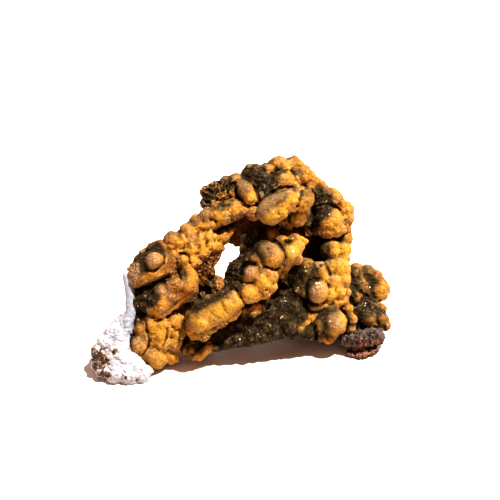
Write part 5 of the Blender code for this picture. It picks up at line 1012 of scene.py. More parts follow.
def steps(low, high, values):
    """A smooth rise from 0 at low to 1 at high."""
    share = np.clip((values - low) / (high - low), 0.0, 1.0)
    return share * share * (3.0 - 2.0 * share)


def plane_spots(points):
    """Across, rise and out of each point."""
    local = points - np.array(LAYOUT_FOOT)
    axes = np.array([RIGHT, UP_PLANE, OUT_OF_PLANE])
    return local @ axes.T


def patches(table, name, spots):
    """How strongly the patches of one table cover each point, from 0 to 1."""
    bare = np.ones(len(spots))
    for across, rise, radius, strength in table.get(name, []):
        far = np.hypot(spots[:, 0] - across, spots[:, 1] - rise) / radius
        bare *= 1.0 - strength * (1.0 - steps(PATCH_CORE, PATCH_RIM, far))
    return 1.0 - bare


def noisy(points, waves, shift=(0.0, 0.0, 0.0)):
    """Soft noise at each point."""
    return np.array([noise.noise(Vector(p) * waves + Vector(shift)) for p in points])


def warped(points, plane):
    """The plane's spots shifted by soft noise, so that a patch keeps no round outline."""
    spots = plane.copy()
    for axis, shift in enumerate(WARP_SHIFTS):
        spots[:, axis] += PATCH_WARP[0] * noisy(points, PATCH_WARP[1], shift)
    return spots


def front_share(normals):
    """1 where a face is turned to the front of the leaning plane, 0 where it is turned away."""
    return steps(*FRONT_FADE, normals @ np.array(OUT_OF_PLANE))


def stroke_distance(plane, chain):
    """Each point's distance in the plane from a chain of points."""
    nearest = np.full(len(plane), FAR_AWAY)
    spots = plane[:, :2]
    for first, second in zip(chain, chain[1:]):
        start, along = np.array(first), np.array(second) - np.array(first)
        share = np.clip(((spots - start) @ along) / (along @ along), 0.0, 1.0)
        nearest = np.minimum(nearest, np.linalg.norm(spots - start - share[:, None] * along, axis=1))
    return nearest


def stroke_share(node, kind, plane):
    """How near each point is to the strokes of one kind: 1 on them, 0 beyond their half-width."""
    nearest = np.full(len(plane), FAR_AWAY)
    for chain in STROKES.get((node, kind), []):
        nearest = np.minimum(nearest, stroke_distance(plane, chain))
    return (1.0 - np.clip(nearest / STROKE_KINDS[kind][0], 0.0, 1.0) ** 2) ** 2


def carve(node, mesh):
    """Raises ridges and cuts grooves along the strokes of a branch, on its front."""
    out = np.array(OUT_OF_PLANE)
    for kind, (_, height) in STROKE_KINDS.items():
        points = points_of(mesh)
        front = steps(*CARVE_FADE, normals_of(mesh) @ out)
        lift = height * stroke_share(node, kind, plane_spots(points)) * front
        move_points(mesh, points + out * lift[:, None])


def too_near(filled, home, x, y, z, radius):
    """Whether a dome there would crowd one that is placed already."""
    for dx, dy, dz in NEIGHBOURS:
        for px, py, pz, size in filled.get((home[0] + dx, home[1] + dy, home[2] + dz), ()):
            gap = COBBLE_SPACE * (radius + size)
            if (px - x) ** 2 + (py - y) ** 2 + (pz - z) ** 2 < gap * gap:
                return True
    return False


def crowd(points, sizes, key):
    """Middles of domes that crowd a skin, as (point number, radius)."""
    smallest, largest, _ = sizes
    draw = random.Random(key)
    cell = 2.0 * largest
    filled = {}
    made = []
    misses = 0
    while misses < COBBLE_MISSES:
        index = draw.randrange(len(points))
        radius = smallest + (largest - smallest) * draw.random() ** COBBLE_POWER
        x, y, z = points[index]
        home = (int(x // cell), int(y // cell), int(z // cell))
        if too_near(filled, home, x, y, z, radius):
            misses += 1
            continue
        misses = 0
        filled.setdefault(home, []).append((x, y, z, radius))
        made.append((index, radius))
    return made


def dome_heights(points, domes, share, peaked):
    """Height of the highest dome over each point; a peaked one is a cone and not a cap."""
    tree = KDTree(len(points))
    for index, point in enumerate(points):
        tree.insert(point, index)
    tree.balance()
    heights = np.zeros(len(points))
    for middle, radius in domes:
        for _, index, far in tree.find_range(points[middle], radius):
            part = far / radius
            rise = 1.0 - part if peaked else math.sqrt(max(0.0, 1.0 - part * part))
            height = radius * share * rise
            if height > heights[index]:
                heights[index] = height
    return heights


def raise_domes(name, mesh, sizes, key, weight, peaked=False):
    """Crowds the skin with domes, lower where the weight is lower."""
    points = points_of(mesh)
    heights = dome_heights(points, crowd(points, sizes, f"{name} {key}"), sizes[2], peaked)
    heights = (heights - sizes[0] * sizes[2] * COBBLE_DROP) * weight
    heights *= steps(0.0, RESTING, points[:, 2])
    move_points(mesh, points + normals_of(mesh) * heights[:, None])


def grit(name, mesh, weight, rubble):
    """Roughens the skin with fine grains, and breaks rubble down to sharp chunks."""
    points = points_of(mesh)
    rough = noisy(points, GRIT_WAVES) + FINE_GRIT[1] * noisy(points, FINE_GRIT[0], (7.0, 3.0, 1.0))
    chunks = RUBBLE_LEVEL - abs(noisy(points, RUBBLE_WAVES, (3.0, 9.0, 5.0)))
    rough = GRIT[name] * weight * rough + RUBBLE_CHUNKS * rubble * chunks
    rough *= steps(0.0, RESTING, points[:, 2])
    move_points(mesh, points + normals_of(mesh) * rough[:, None])


def softened(mesh, rounds, points=None):
    """The mesh's points, or any row a point, each drawn towards its neighbours a number of times."""
    points = points_of(mesh) if points is None else points
    ends = np.empty(len(mesh.edges) * 2, dtype=np.int64)
    mesh.edges.foreach_get("vertices", ends)
    ends = ends.reshape(-1, 2)
    count = len(points)
    degree = np.bincount(ends.ravel(), minlength=count)[:, None]
    for _ in range(rounds):
        near = np.empty_like(points)
        for axis in range(points.shape[1]):
            near[:, axis] = np.bincount(ends[:, 0], points[ends[:, 1], axis], count)
            near[:, axis] += np.bincount(ends[:, 1], points[ends[:, 0], axis], count)
        points = (1.0 - SOFT_SHARE) * points + SOFT_SHARE * near / np.maximum(degree, 1)
    return points


def soften(mesh, rounds):
    """Softens the creases between the lumps; the resting flats stay where they are."""
    points, soft = points_of(mesh), softened(mesh, rounds)
    resting = points[:, 2] < RESTS_BELOW
    soft[resting] = points[resting]
    move_points(mesh, soft)


def hollows(mesh, rounds, depth):
    """How deep each point lies against its surroundings: 1 in a crease, -1 on a sharp top."""
    points, soft = points_of(mesh), softened(mesh, rounds)
    return np.clip(((soft - points) * normals_of(mesh)).sum(axis=1) / depth, -1.0, 1.0)


def solids_tree():
    """All the solids as one searchable surface, with each corner's place and outward direction."""
    corners, faces, spots = [], [], []
    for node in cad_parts.values():
        bm = bmesh.new()
        bm.from_mesh(node.data)
        bmesh.ops.remove_doubles(bm, verts=list(bm.verts), dist=WELD)
        bmesh.ops.transform(bm, matrix=node.matrix_world, verts=list(bm.verts))
        bm.normal_update()
        start = len(corners)
        corners += [vert.co.copy() for vert in bm.verts]
        faces += [[vert.index + start for vert in face.verts] for face in bm.faces]
        spots += [(vert.co.copy(), vert.normal.copy()) for vert in bm.verts]
        bm.free()
    return BVHTree.FromPolygons(corners, faces), spots


@functools.cache
def sheltered_spots():
    """Corners of the solids with how much of what they could see is blocked, from 0 to 1."""
    tree, spots = solids_tree()
    draw = random.Random("shelter")
    rays = []
    while len(rays) < SHELTER_RAYS:
        ray = Vector([draw.uniform(-1.0, 1.0) for _ in range(3)])
        if 0.1 < ray.length < 1.0:
            rays.append(ray.normalized())
    found = []
    for corner, normal in spots:
        seen, total = 0.0, 0.0
        start = corner + normal * SHELTER_START * MM
        for ray in rays:
            facing = ray.dot(normal)
            if facing > SHELTER_GRAZE:
                total += facing
                floor = ray.z < 0.0 and corner.z / -ray.z < SHELTER_REACH * MM
                if not floor and tree.ray_cast(start, ray, SHELTER_REACH * MM)[0] is None:
                    seen += facing
        share = seen / total
        if share > SEALED:
            found.append((corner / MM, 1.0 - share))
    return found


def shelter_field(points, spots):
    """How sheltered each point is, softened over the nearest corners of the solids."""
    tree = KDTree(len(spots))
    for index, (corner, _) in enumerate(spots):
        tree.insert(corner, index)
    tree.balance()
    sheltered = np.empty(len(points))
    for row, point in enumerate(points):
        total, weight = 0.0, 0.0
        for _, index, far in tree.find_n(point, SHELTER_NEAREST):
            near = 1.0 / (SHELTER_BLUR + far)
            total += near * spots[index][1]
            weight += near
        sheltered[row] = total / weight
    return sheltered


def far_coat(points):
    """Where the dark coat lies on the sides turned away: broad clouds."""
    waves, level, swing = FAR_COAT
    broad = np.array([noise.fractal(Vector(p) * waves, 1.0, 2.0, 3) for p in points])
    return np.clip(level + swing * broad, 0.0, 1.0)


def coat_field(mesh, node, shade_side):
    """How thick the dark coat lies at each point; the last argument says how much the skin there faces the
    upper left, where the coat lies thicker, partly as painted shade.
    """
    points = points_of(mesh)
    plane, front = plane_spots(points), front_share(normals_of(mesh))
    coat = patches(COAT, node, warped(points, plane)) * (1.0 - patches(BARE, node, plane))
    coat = np.clip(coat * (COAT_LEVEL + SHADE_SIDE_COAT[node] * shade_side) + SHADE_SIDE_COAT[node] * shade_side, *COAT_RANGE)
    coat = coat * front + far_coat(points) * (1.0 - front)
    return softened(mesh, COAT_ROUNDS, coat[:, None])[:, 0]


def keep_in_box(mesh):
    """Draws the outermost millimetres in, so that the skin stays within the solids' reach."""
    points = points_of(mesh)
    low, high = np.array(CAD_BOX[0]) / MM, np.array(CAD_BOX[1]) / MM
    for axis in range(3):
        over = points[:, axis] - (high[axis] - BOX_MARGIN)
        points[:, axis] -= BOX_DRAW * np.maximum(over, 0.0)
        if axis < 2:
            under = (low[axis] + BOX_MARGIN) - points[:, axis]
            points[:, axis] += BOX_DRAW * np.maximum(under, 0.0)
    points[:, 2] = np.maximum(points[:, 2], 0.0)
    move_points(mesh, np.clip(points, low, high))


def write_field(mesh, name, values):
    """Stores one value a point under a name that the materials read."""
    stored = mesh.attributes.new(name, "FLOAT", "POINT")
    stored.data.foreach_set("value", np.ascontiguousarray(values, dtype=np.float32))


def dress(body, node, finish):
    """Gives a skin its fields, its finish and its place in the frame."""
    mesh = body.data
    points, normals = points_of(mesh), normals_of(mesh)
    plane, front = plane_spots(points), front_share(normals)
    # How much each point faces the upper left, the side painted as shaded; faces turned the other way are
    # painted paler.
    shade_side = softened(mesh, SHADE_SIDE_ROUNDS, normals) @ np.array(SHADE_SIDE)
    write_field(mesh, "coat", coat_field(mesh, node, shade_side))
    write_field(mesh, "crumble", patches(CRUMBLE, node, plane))
    write_field(mesh, "shade_side", shade_side)
    painted_glints = {node: [(*painted_glint, 1.0) for painted_glint in PAINTED_GLINTS.get(node, [])]}
    for name, table in (("frost", FROST), ("gold", GOLD), ("stain", STAIN), ("painted_glint", painted_glints)):
        write_field(mesh, name, patches(table, node, plane) * front)
    write_field(mesh, "hollow", hollows(mesh, *HOLLOW_FINE))
    write_field(mesh, "dip", hollows(mesh, *HOLLOW_BROAD))
    # The shelter field carries painted shade: sheltered places, cuts and seams are painted near-black, less
    # so in the listed open places.
    cuts = np.maximum(stroke_share(node, "cut", plane), SEAM_DARK * stroke_share(node, "seam", plane))
    sheltered = shelter_field(points, sheltered_spots()) * (1.0 - patches(OPEN, node, plane) * front)
    write_field(mesh, "shelter", np.maximum(sheltered, cuts * front))
    mesh.materials.clear()
    mesh.materials.append(finish)
    mesh.polygons.foreach_set("use_smooth", [True] * len(mesh.polygons))
    mesh.update()
    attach(body, "root")
    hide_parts(node)


def skin(node, settings):
    """The fine, lumpy skin of one branch."""
    body = fused(f"{node}_skin", branch_slabs(node), settings.voxel / MM, fineness=3)
    cut_at_rest(body)
    mesh = body.data
    soften(mesh, SOFTENING)
    carve(node, mesh)
    quartz = node == "quartz_foot"
    plane = plane_spots(points_of(mesh))
    if quartz:
        smooth = steps(DRIP_RISE, DRIP_RISE + DRIP_FADE, plane[:, 1])
    else:
        smooth = patches(FROST, node, plane) * front_share(normals_of(mesh))
    weight = settings.relief * (1.0 - SMOOTH_SHARE * smooth)
    raise_domes(node, mesh, COBBLES[node], "cobbles", weight)
    raise_domes(node, mesh, PEBBLES[node], "pebbles", weight, peaked=quartz)
    rubble = patches(CRUMBLE, node, plane_spots(points_of(mesh)))
    frosted = 0.0 if quartz else smooth
    grit(node, mesh, 1.0 + frosted + RUBBLE_GRIT * rubble, rubble)
    keep_in_box(mesh)
    return body


# Materials.


def step(tree, kind, inputs=None, **settings):
    """Adds one node; inputs maps a socket's name or number to a value or to another node's output."""
    made = tree.nodes.new(kind)
    for name, value in settings.items():
        setattr(made, name, value)
    for key, value in (inputs or {}).items():
        socket = made.inputs[key]
        if isinstance(value, bpy.types.NodeSocket):
            tree.links.new(value, socket)
        else:
            socket.default_value = value
    return made


def calc(tree, operation, first, second=0.0, third=0.0, clamp=False):
    """One sum."""
    inputs = {0: first, 1: second, 2: third}
    return step(tree, "ShaderNodeMath", inputs, operation=operation, use_clamp=clamp).outputs[0]


def blend(tree, share, first, second, mode="MIX"):
    """One mix of two colours."""
    made = step(tree, "ShaderNodeMix", data_type="RGBA", blend_type=mode)
    sockets = {socket.identifier: socket for socket in made.inputs}
    for key, value in (("Factor_Float", share), ("A_Color", first), ("B_Color", second)):
        if isinstance(value, bpy.types.NodeSocket):
            tree.links.new(value, sockets[key])
        elif key == "Factor_Float":
            sockets[key].default_value = value
        else:
            sockets[key].default_value = (*value, 1.0)[:4]
    return next(socket for socket in made.outputs if socket.identifier == "Result_Color")


def rise(tree, value, low, high):
    """A smooth rise from 0 at low to 1 at high."""
    inputs = {"Value": value, "From Min": low, "From Max": high}
    return step(tree, "ShaderNodeMapRange", inputs, interpolation_type="SMOOTHSTEP").outputs["Result"]


def clouds(tree, where, size, detail=3.0, roughness=0.5):
    """Noise with clouds about that many millimetres across, around 0.5."""
    inputs = {"Vector": where, "Scale": 1.0 / size, "Detail": detail, "Roughness": roughness}
    return step(tree, "ShaderNodeTexNoise", inputs).outputs["Fac"]


def cells(tree, where, size):
    """Distance from the middles of cells about that many millimetres across."""
    inputs = {"Vector": where, "Scale": 1.0 / size}
    return step(tree, "ShaderNodeTexVoronoi", inputs).outputs["Distance"]


def tint(tree, base, share, strongest, colour_on):
    """Lays a colour over the base where the share is high."""
    return blend(tree, calc(tree, "MULTIPLY", share, strongest), base, colour_on)


def swayed(tree, value, cloud, amount):
    """A value moved up and down by a noise, so that an edge drawn from it is ragged."""
    return calc(tree, "MULTIPLY_ADD", calc(tree, "SUBTRACT", cloud, 0.5), amount, value)


def opposite(tree, value):
    """The value with its sign turned."""
    return calc(tree, "MULTIPLY", value, -1.0)


def field(tree, name):
    """A field stored on the skin."""
    return step(tree, "ShaderNodeAttribute", attribute_name=name).outputs["Fac"]


def new_group(name, inputs, outputs):
    """An empty shader node group; its inputs are (name, kind, value) and its outputs (name, kind)."""
    group = bpy.data.node_groups.new(name, "ShaderNodeTree")
    for socket_name, kind, value in inputs:
        made = group.interface.new_socket(socket_name, in_out="INPUT", socket_type=kind)
        made.default_value = value
    for socket_name, kind in outputs:
        group.interface.new_socket(socket_name, in_out="OUTPUT", socket_type=kind)
    start = group.nodes.new("NodeGroupInput")
    end = group.nodes.new("NodeGroupOutput")
    return group, start.outputs, end.inputs


COLOUR = "NodeSocketColor"
NUMBER = "NodeSocketFloat"
VECTOR = "NodeSocketVector"
SKIN_COLOURS = ("ochre", "umber", "gold", "tan", "dusk", "frost", "coat", "olive")
MID_GREY = (0.5, 0.5, 0.5, 1.0)
CREASE_SHADE_BROWN = (0.03, 0.013, 0.004)
SHADE_BLACK = (0.006, 0.004, 0.002)


def grain_group():
    """Grain at three sizes, with pits, read by every finish."""
    group, _, result = new_group(
        "mineral grain", [],
        [("Clouds", NUMBER), ("Mottle", NUMBER), ("Grain", NUMBER), ("Pits", NUMBER), ("Where", VECTOR)],
    )
    place_on = step(group, "ShaderNodeTexCoord").outputs["Object"]
    inputs = {0: place_on, 1: (1.0 / MM,) * 3}
    where = step(group, "ShaderNodeVectorMath", inputs, operation="MULTIPLY").outputs[0]
    group.links.new(clouds(group, where, 4.5, 4.0), result["Clouds"])
    group.links.new(clouds(group, where, 1.1, 4.0, 0.6), result["Mottle"])
    group.links.new(clouds(group, where, 0.36, 3.0, 0.65), result["Grain"])
    group.links.new(cells(group, where, 0.42), result["Pits"])
    group.links.new(where, result["Where"])
    return group


def grain(tree):
    """The grain's outputs, for one tree."""
    group = bpy.data.node_groups.get("mineral grain") or grain_group()
    return step(tree, "ShaderNodeGroup", node_tree=group).outputs


def bare_skin(group, seen, given, shade):
    """Bare mineral: two browns in clouds; gold in its patches, partly painted light; painted shade in umber
    and dark brown in the creases and broad hollows; and olive-brown painted shade, partly thin coat, on the
    upper-left side.
    """
    hollow, dip, shade_side = field(group, "hollow"), field(group, "dip"), field(group, "shade_side")
    base = blend(group, rise(group, seen["Clouds"], 0.42, 0.62), given["Ochre"], given["Umber"])
    base = tint(group, base, field(group, "gold"), 0.85, given["Gold"])
    # Painted shade in the broad hollows, in umber.
    low = rise(group, swayed(group, dip, seen["Mottle"], 0.6), -0.3, 0.9)
    base = tint(group, base, low, 0.7, given["Umber"])
    # Painted shade on the upper-left faces, olive-brown, partly thin coat.
    brown = rise(group, swayed(group, shade_side, seen["Mottle"], 0.9), -0.1, 0.95)
    base = tint(group, base, brown, 0.55, given["Olive"])
    dusky = rise(group, clouds(group, seen["Where"], 2.3, 2.0), 0.5, 0.66)
    base = tint(group, base, dusky, 0.5, given["Dusk"])
    base = blend(group, 1.0, base, shade, "MULTIPLY")
    # Painted shade in the creases: umber, then dark brown in the deepest creases and broad hollows.
    base = tint(group, base, rise(group, hollow, 0.05, 0.7), 0.7, given["Umber"])
    base = tint(group, base, rise(group, hollow, 0.35, 0.9), 0.9, CREASE_SHADE_BROWN)
    return tint(group, base, rise(group, dip, 0.25, 0.95), 0.6, CREASE_SHADE_BROWN)


def sprinkled(group, base, seen, given, top):
    """Paler on the tops, a painted highlight on the ridges that is partly wear, and on faces turned to the
    lower right, painted light; sprinkled with pale and dark grains.
    """
    # Painted light on the faces turned to the lower right, and a painted highlight on the tops.
    bright = rise(group, opposite(group, field(group, "shade_side")), 0.35, 0.9)
    worn = calc(group, "MAXIMUM", top, calc(group, "MULTIPLY", bright, 0.6))
    worn = calc(group, "MULTIPLY", worn, rise(group, seen["Grain"], 0.36, 0.60))
    base = tint(group, base, worn, 0.7, given["Tan"])
    pale = rise(group, seen["Grain"], 0.57, 0.70)
    pale = calc(group, "MULTIPLY", pale, rise(group, seen["Clouds"], 0.35, 0.65))
    base = tint(group, base, pale, 0.65, given["Tan"])
    dark = rise(group, seen["Pits"], 0.20, 0.08)
    dark = calc(group, "MULTIPLY", dark, rise(group, seen["Mottle"], 0.62, 0.42))
    return tint(group, base, dark, 0.7, (0.05, 0.022, 0.006))


def coat_edge(group, seen, amount):
    """How thick the coat lies: in its patches, thicker in the creases and broad hollows as painted shade,
    broken at the edges.
    """
    edge = calc(group, "ADD", field(group, "coat"), amount)
    edge = swayed(group, edge, seen["Mottle"], 0.4)
    edge = swayed(group, edge, seen["Clouds"], 0.3)
    # The coat thickens in creases and broad hollows: painted shade.
    edge = calc(group, "MULTIPLY_ADD", field(group, "hollow"), 0.15, edge)
    edge = calc(group, "MULTIPLY_ADD", field(group, "dip"), 0.35, edge)
    return rise(group, edge, -0.05, 1.05)


def coated(group, base, seen, given, shade, top, coat, frosted):
    """Lays the coat over the base: an olive veil, near-black in the middle, with pale specks."""
    thin = rise(group, calc(group, "MULTIPLY_ADD", top, 0.4, seen["Mottle"]), 0.5, 0.95)
    dark = blend(group, thin, given["Coat"], given["Olive"])
    dark = blend(group, 0.8, dark, shade, "MULTIPLY")
    speck = calc(group, "MULTIPLY_ADD", field(group, "frost"), 0.5, 0.50)
    speck = calc(group, "MULTIPLY", rise(group, seen["Grain"], 0.56, 0.72), speck)
    dark = blend(group, speck, dark, (0.30, 0.20, 0.11))
    veil = calc(group, "MULTIPLY", coat, calc(group, "MULTIPLY_ADD", frosted, -0.7, 0.98))
    base = blend(group, calc(group, "MULTIPLY", veil, 1.5, clamp=True), base, given["Olive"])
    return blend(group, rise(group, veil, 0.35, 1.05), base, dark)


def skin_group():
    """The botryoidal skin: bare mineral, frosted places partly painted as sheen, the coat, painted shade in
    the forks, rubble and painted glints.
    """
    group, given, result = new_group(
        "botryoidal skin",
        [(name.title(), COLOUR, MID_GREY) for name in SKIN_COLOURS] + [("Coat Amount", NUMBER, 0.0)],
        [("Color", COLOUR), ("Roughness", NUMBER), ("Gloss", NUMBER), ("Height", NUMBER)],
    )
    seen = grain(group)
    # Tops of the lumps, which are painted paler as a painted highlight.
    top = rise(group, opposite(group, field(group, "hollow")), 0.08, 0.8)
    fine = calc(group, "MULTIPLY_ADD", seen["Mottle"], 0.9, 0.55)
    fine = calc(group, "MULTIPLY", fine, calc(group, "MULTIPLY_ADD", seen["Grain"], 1.7, 0.15))
    shade = step(group, "ShaderNodeCombineColor", {0: fine, 1: fine, 2: fine}).outputs[0]
    base = sprinkled(group, bare_skin(group, seen, given, shade), seen, given, top)
    # Frost: pale grains, partly a painted sheen, that thicken towards the middle of each frosted place and
    # towards its upper-left side.
    frost = field(group, "frost")
    thick = calc(group, "MULTIPLY", frost, calc(group, "MULTIPLY_ADD", field(group, "shade_side"), 0.35, 0.75))
    frosted = rise(group, swayed(group, thick, seen["Mottle"], 0.8), 0.2, 0.9)
    base = tint(group, base, frosted, 0.7, given["Dusk"])
    grains = calc(group, "MULTIPLY", rise(group, seen["Grain"], 0.46, 0.66), rise(group, thick, 0.1, 0.8))
    base = tint(group, base, grains, 0.8, given["Frost"])
    coat = coat_edge(group, seen, given["Coat Amount"])
    base = coated(group, base, seen, given, shade, top, coat, frosted)
    # Sheltered places, cuts and seams are painted near-black: painted shade in the forks, voids and grooves.
    deep = rise(group, swayed(group, field(group, "shelter"), seen["Mottle"], 0.3), 0.66, 0.95)
    base = tint(group, base, deep, 0.96, SHADE_BLACK)
    # Crumbled places: rusty grains with black gaps between them.
    rubble = rise(group, swayed(group, field(group, "crumble"), seen["Mottle"], 0.8), 0.25, 0.7)
    gaps = calc(group, "MULTIPLY", rubble, rise(group, seen["Grain"], 0.52, 0.44))
    base = tint(group, base, gaps, 0.85, (0.018, 0.008, 0.003))
    # Painted glints: tiny pale cream spots painted where highlights fall on the coat.
    painted_glint = rise(group, field(group, "painted_glint"), 0.35, 0.8)
    painted_glint = calc(group, "MULTIPLY", painted_glint, rise(group, seen["Grain"], 0.38, 0.52))
    group.links.new(blend(group, painted_glint, base, (0.70, 0.58, 0.40)), result["Color"])
    rough = calc(group, "SUBTRACT", calc(group, "MULTIPLY_ADD", frosted, 0.25, 0.62), 0.1)
    rough = calc(group, "MULTIPLY_ADD", seen["Grain"], 0.2, rough, clamp=True)
    group.links.new(rough, result["Roughness"])
    # A wet gloss on the coat, in a few places.
    glint = rise(group, clouds(group, seen["Where"], 1.7, 1.0), 0.58, 0.66)
    gloss = calc(group, "MULTIPLY", coat, calc(group, "MULTIPLY", glint, 0.35))
    for dull in (frosted, deep):
        gloss = calc(group, "MULTIPLY", gloss, calc(group, "SUBTRACT", 1.0, dull, clamp=True))
    group.links.new(gloss, result["Gloss"])
    grainy = calc(group, "MULTIPLY_ADD", frost, 1.2, 0.6)
    height = calc(group, "MULTIPLY_ADD", seen["Grain"], grainy, seen["Mottle"])
    height = calc(group, "MULTIPLY", height, calc(group, "MULTIPLY_ADD", coat, -0.2, 1.0))
    group.links.new(height, result["Height"])
    return group


def blank_material(name):
    """A material with only its shader, and that shader's tree."""
    made = bpy.data.materials.new(name)
    made.use_nodes = True
    return made, made.node_tree, made.node_tree.nodes["Principled BSDF"]


def bump(tree, shader, height, depth):
    """Feeds a height through a bump of that depth in millimetres."""
    inputs = {"Height": height, "Strength": 1.0, "Distance": depth * MM}
    tree.links.new(step(tree, "ShaderNodeBump", inputs).outputs["Normal"], shader.inputs["Normal"])


def mottramite(name, settings, amount=0.0):
    """The mineral's finish; amount thickens the dark coat."""
    made, tree, shader = blank_material(name)
    group = bpy.data.node_groups.get("botryoidal skin") or skin_group()
    inputs = {label.title(): (*getattr(settings, label), 1.0) for label in SKIN_COLOURS}
    inputs["Coat Amount"] = amount
    skin_look = step(tree, "ShaderNodeGroup", inputs, node_tree=group).outputs
    tree.links.new(skin_look["Color"], shader.inputs["Base Color"])
    tree.links.new(skin_look["Roughness"], shader.inputs["Roughness"])
    tree.links.new(skin_look["Gloss"], shader.inputs["Coat Weight"])
    shader.inputs["Coat Roughness"].default_value = 0.16
    shader.inputs["Specular IOR Level"].default_value = 0.07
    bump(tree, shader, skin_look["Height"], 0.15)
    return made


def matrix_finish(settings):
    """Pitted purple-grey rock with rusty edges and pale tops, with painted shade in its creases and sheltered
    places.
    """
    made, tree, shader = blank_material("matrix rock")
    seen, hollow = grain(tree), field(tree, "hollow")
    rusty = rise(tree, swayed(tree, field(tree, "stain"), seen["Mottle"], 1.2), 0.25, 0.65)
    base = blend(tree, rusty, tuple(settings.rock), tuple(settings.rust))
    base = tint(tree, base, rise(tree, seen["Pits"], 0.30, 0.05), 0.7, (0.03, 0.016, 0.012))
    # Painted shade in the creases.
    base = tint(tree, base, rise(tree, hollow, 0.05, 0.7), 0.8, (0.02, 0.010, 0.008))
    pale = rise(tree, opposite(tree, hollow), 0.0, 0.6)
    pale = calc(tree, "MULTIPLY", pale, rise(tree, seen["Grain"], 0.4, 0.65))
    base = tint(tree, base, pale, 0.5, (0.28, 0.18, 0.13))
    # Painted shade, near-black, in sheltered places.
    base = tint(tree, base, rise(tree, field(tree, "shelter"), 0.75, 0.98), 0.9, (0.012, 0.006, 0.004))
    tree.links.new(base, shader.inputs["Base Color"])
    tree.links.new(calc(tree, "MULTIPLY_ADD", seen["Grain"], 0.3, 0.6), shader.inputs["Roughness"])
    bump(tree, shader, calc(tree, "MULTIPLY_ADD", seen["Pits"], 0.6, seen["Mottle"]), 0.15)
    return made


def quartz_finish(settings):
    """Frosty white quartz: painted bluish shade in its folds and grey painted shade in sheltered places,
    bluish on the drip, with cream edges and earthy pits.
    """
    made, tree, shader = blank_material("frosty quartz")
    seen, hollow, stain = grain(tree), field(tree, "hollow"), field(tree, "stain")
    # Painted shade in the folds, bluish.
    base = tint(tree, tuple(settings.quartz), rise(tree, hollow, 0.2, 0.9), 0.7, (0.20, 0.225, 0.28))
    smooth = rise(tree, swayed(tree, field(tree, "coat"), seen["Clouds"], 0.5), 0.1, 0.8)
    base = blend(tree, smooth, base, (0.315, 0.335, 0.37))
    # Painted shade in sheltered places, grey.
    base = tint(tree, base, rise(tree, field(tree, "shelter"), 0.6, 1.0), 0.4, (0.36, 0.33, 0.32))
    base = tint(tree, base, rise(tree, stain, 0.1, 0.5), 0.55, (0.42, 0.32, 0.24))
    edge = calc(tree, "MULTIPLY_ADD", hollow, 0.35, swayed(tree, stain, seen["Mottle"], 2.4))
    earth = blend(tree, rise(tree, seen["Grain"], 0.44, 0.62), (0.014, 0.007, 0.003), (0.16, 0.072, 0.022))
    base = blend(tree, rise(tree, edge, 0.54, 0.78), base, earth)
    tree.links.new(base, shader.inputs["Base Color"])
    tree.links.new(calc(tree, "MULTIPLY_ADD", seen["Grain"], 0.3, 0.3), shader.inputs["Roughness"])
    shader.inputs["Subsurface Weight"].default_value = 0.3
    shader.inputs["Subsurface Radius"].default_value = (0.8 * MM, 0.8 * MM, 0.9 * MM)
    bump(tree, shader, calc(tree, "MULTIPLY_ADD", seen["Grain"], 0.7, seen["Mottle"]), 0.1)
    return made


# Operators.

def grow(nodes, finish):
    """Grows and dresses the skins of some branches, which share one finish."""
    settings = bpy.context.scene.mottramite
    for node in nodes:
        body = skin(node, settings)
        if len(body.data.polygons) == 0:
            raise RuntimeError(f"the skin of {node} came out empty")
        dress(body, node, finish)


class MOTTRAMITE_OT_branches(bpy.types.Operator):
    """Grow the lumpy ochre branches"""

    bl_idname = "mottramite.branches"
    bl_label = "Branches"

    def execute(self, context):
        finish = mottramite("mottramite skin", context.scene.mottramite)
        nodes = ("crown", "right_column", "rear_column", "middle_branch", "left_arm", "left_leg", "back_lobe")
        grow(nodes, finish)
        return {"FINISHED"}


class MOTTRAMITE_OT_crust(bpy.types.Operator):
    """Grow the olive-black lower crust"""

    bl_idname = "mottramite.crust"
    bl_label = "Lower crust"

    def execute(self, context):
        grow(("lower_crust",), mottramite("dark crust", context.scene.mottramite, 0.2))
        return {"FINISHED"}


class MOTTRAMITE_OT_matrix(bpy.types.Operator):
    """Grow the pitted plates of matrix rock"""

    bl_idname = "mottramite.matrix"
    bl_label = "Matrix"

    def execute(self, context):
        grow(("matrix_base",), matrix_finish(context.scene.mottramite))
        return {"FINISHED"}


class MOTTRAMITE_OT_quartz(bpy.types.Operator):
    """Grow the frosty quartz foot and its drip"""

    bl_idname = "mottramite.quartz"
    bl_label = "Quartz foot"

    def execute(self, context):
        grow(("quartz_foot",), quartz_finish(context.scene.mottramite))
        return {"FINISHED"}


CAMERA_FAR = 600.0  # from the aimed point, in millimetres
CAMERA_SPAN = 100.0  # across the frame at that distance
CAMERA_AIM = (2.0, 22.0)  # across and rise
SENSOR = 36.0
LAMP_FROM = Vector((0.32, 0.0, 0.95))
LAMP_ANGLE = math.radians(3.5)
SIDE_FROM = Vector((0.70, 0.50, 0.51))
SIDE_ANGLE = math.radians(10.0)
REAR_FROM = Vector((-0.45, 0.6, 0.66))
REAR_ANGLE = math.radians(16.0)
SKY_TINT = (1.0, 0.57, 0.42, 1.0)
FLOOR_HALF = 4000.0


def floor_finish():
    """A pale, faintly uneven sheet."""
    made, tree, shader = blank_material("pale floor")
    where = step(tree, "ShaderNodeTexCoord").outputs["Object"]
    tone = clouds(tree, where, 0.2, 2.0)
    base = blend(tree, tone, (0.66, 0.655, 0.65), (0.69, 0.685, 0.68))
    tree.links.new(base, shader.inputs["Base Color"])
    shader.inputs["Roughness"].default_value = 0.9
    return made


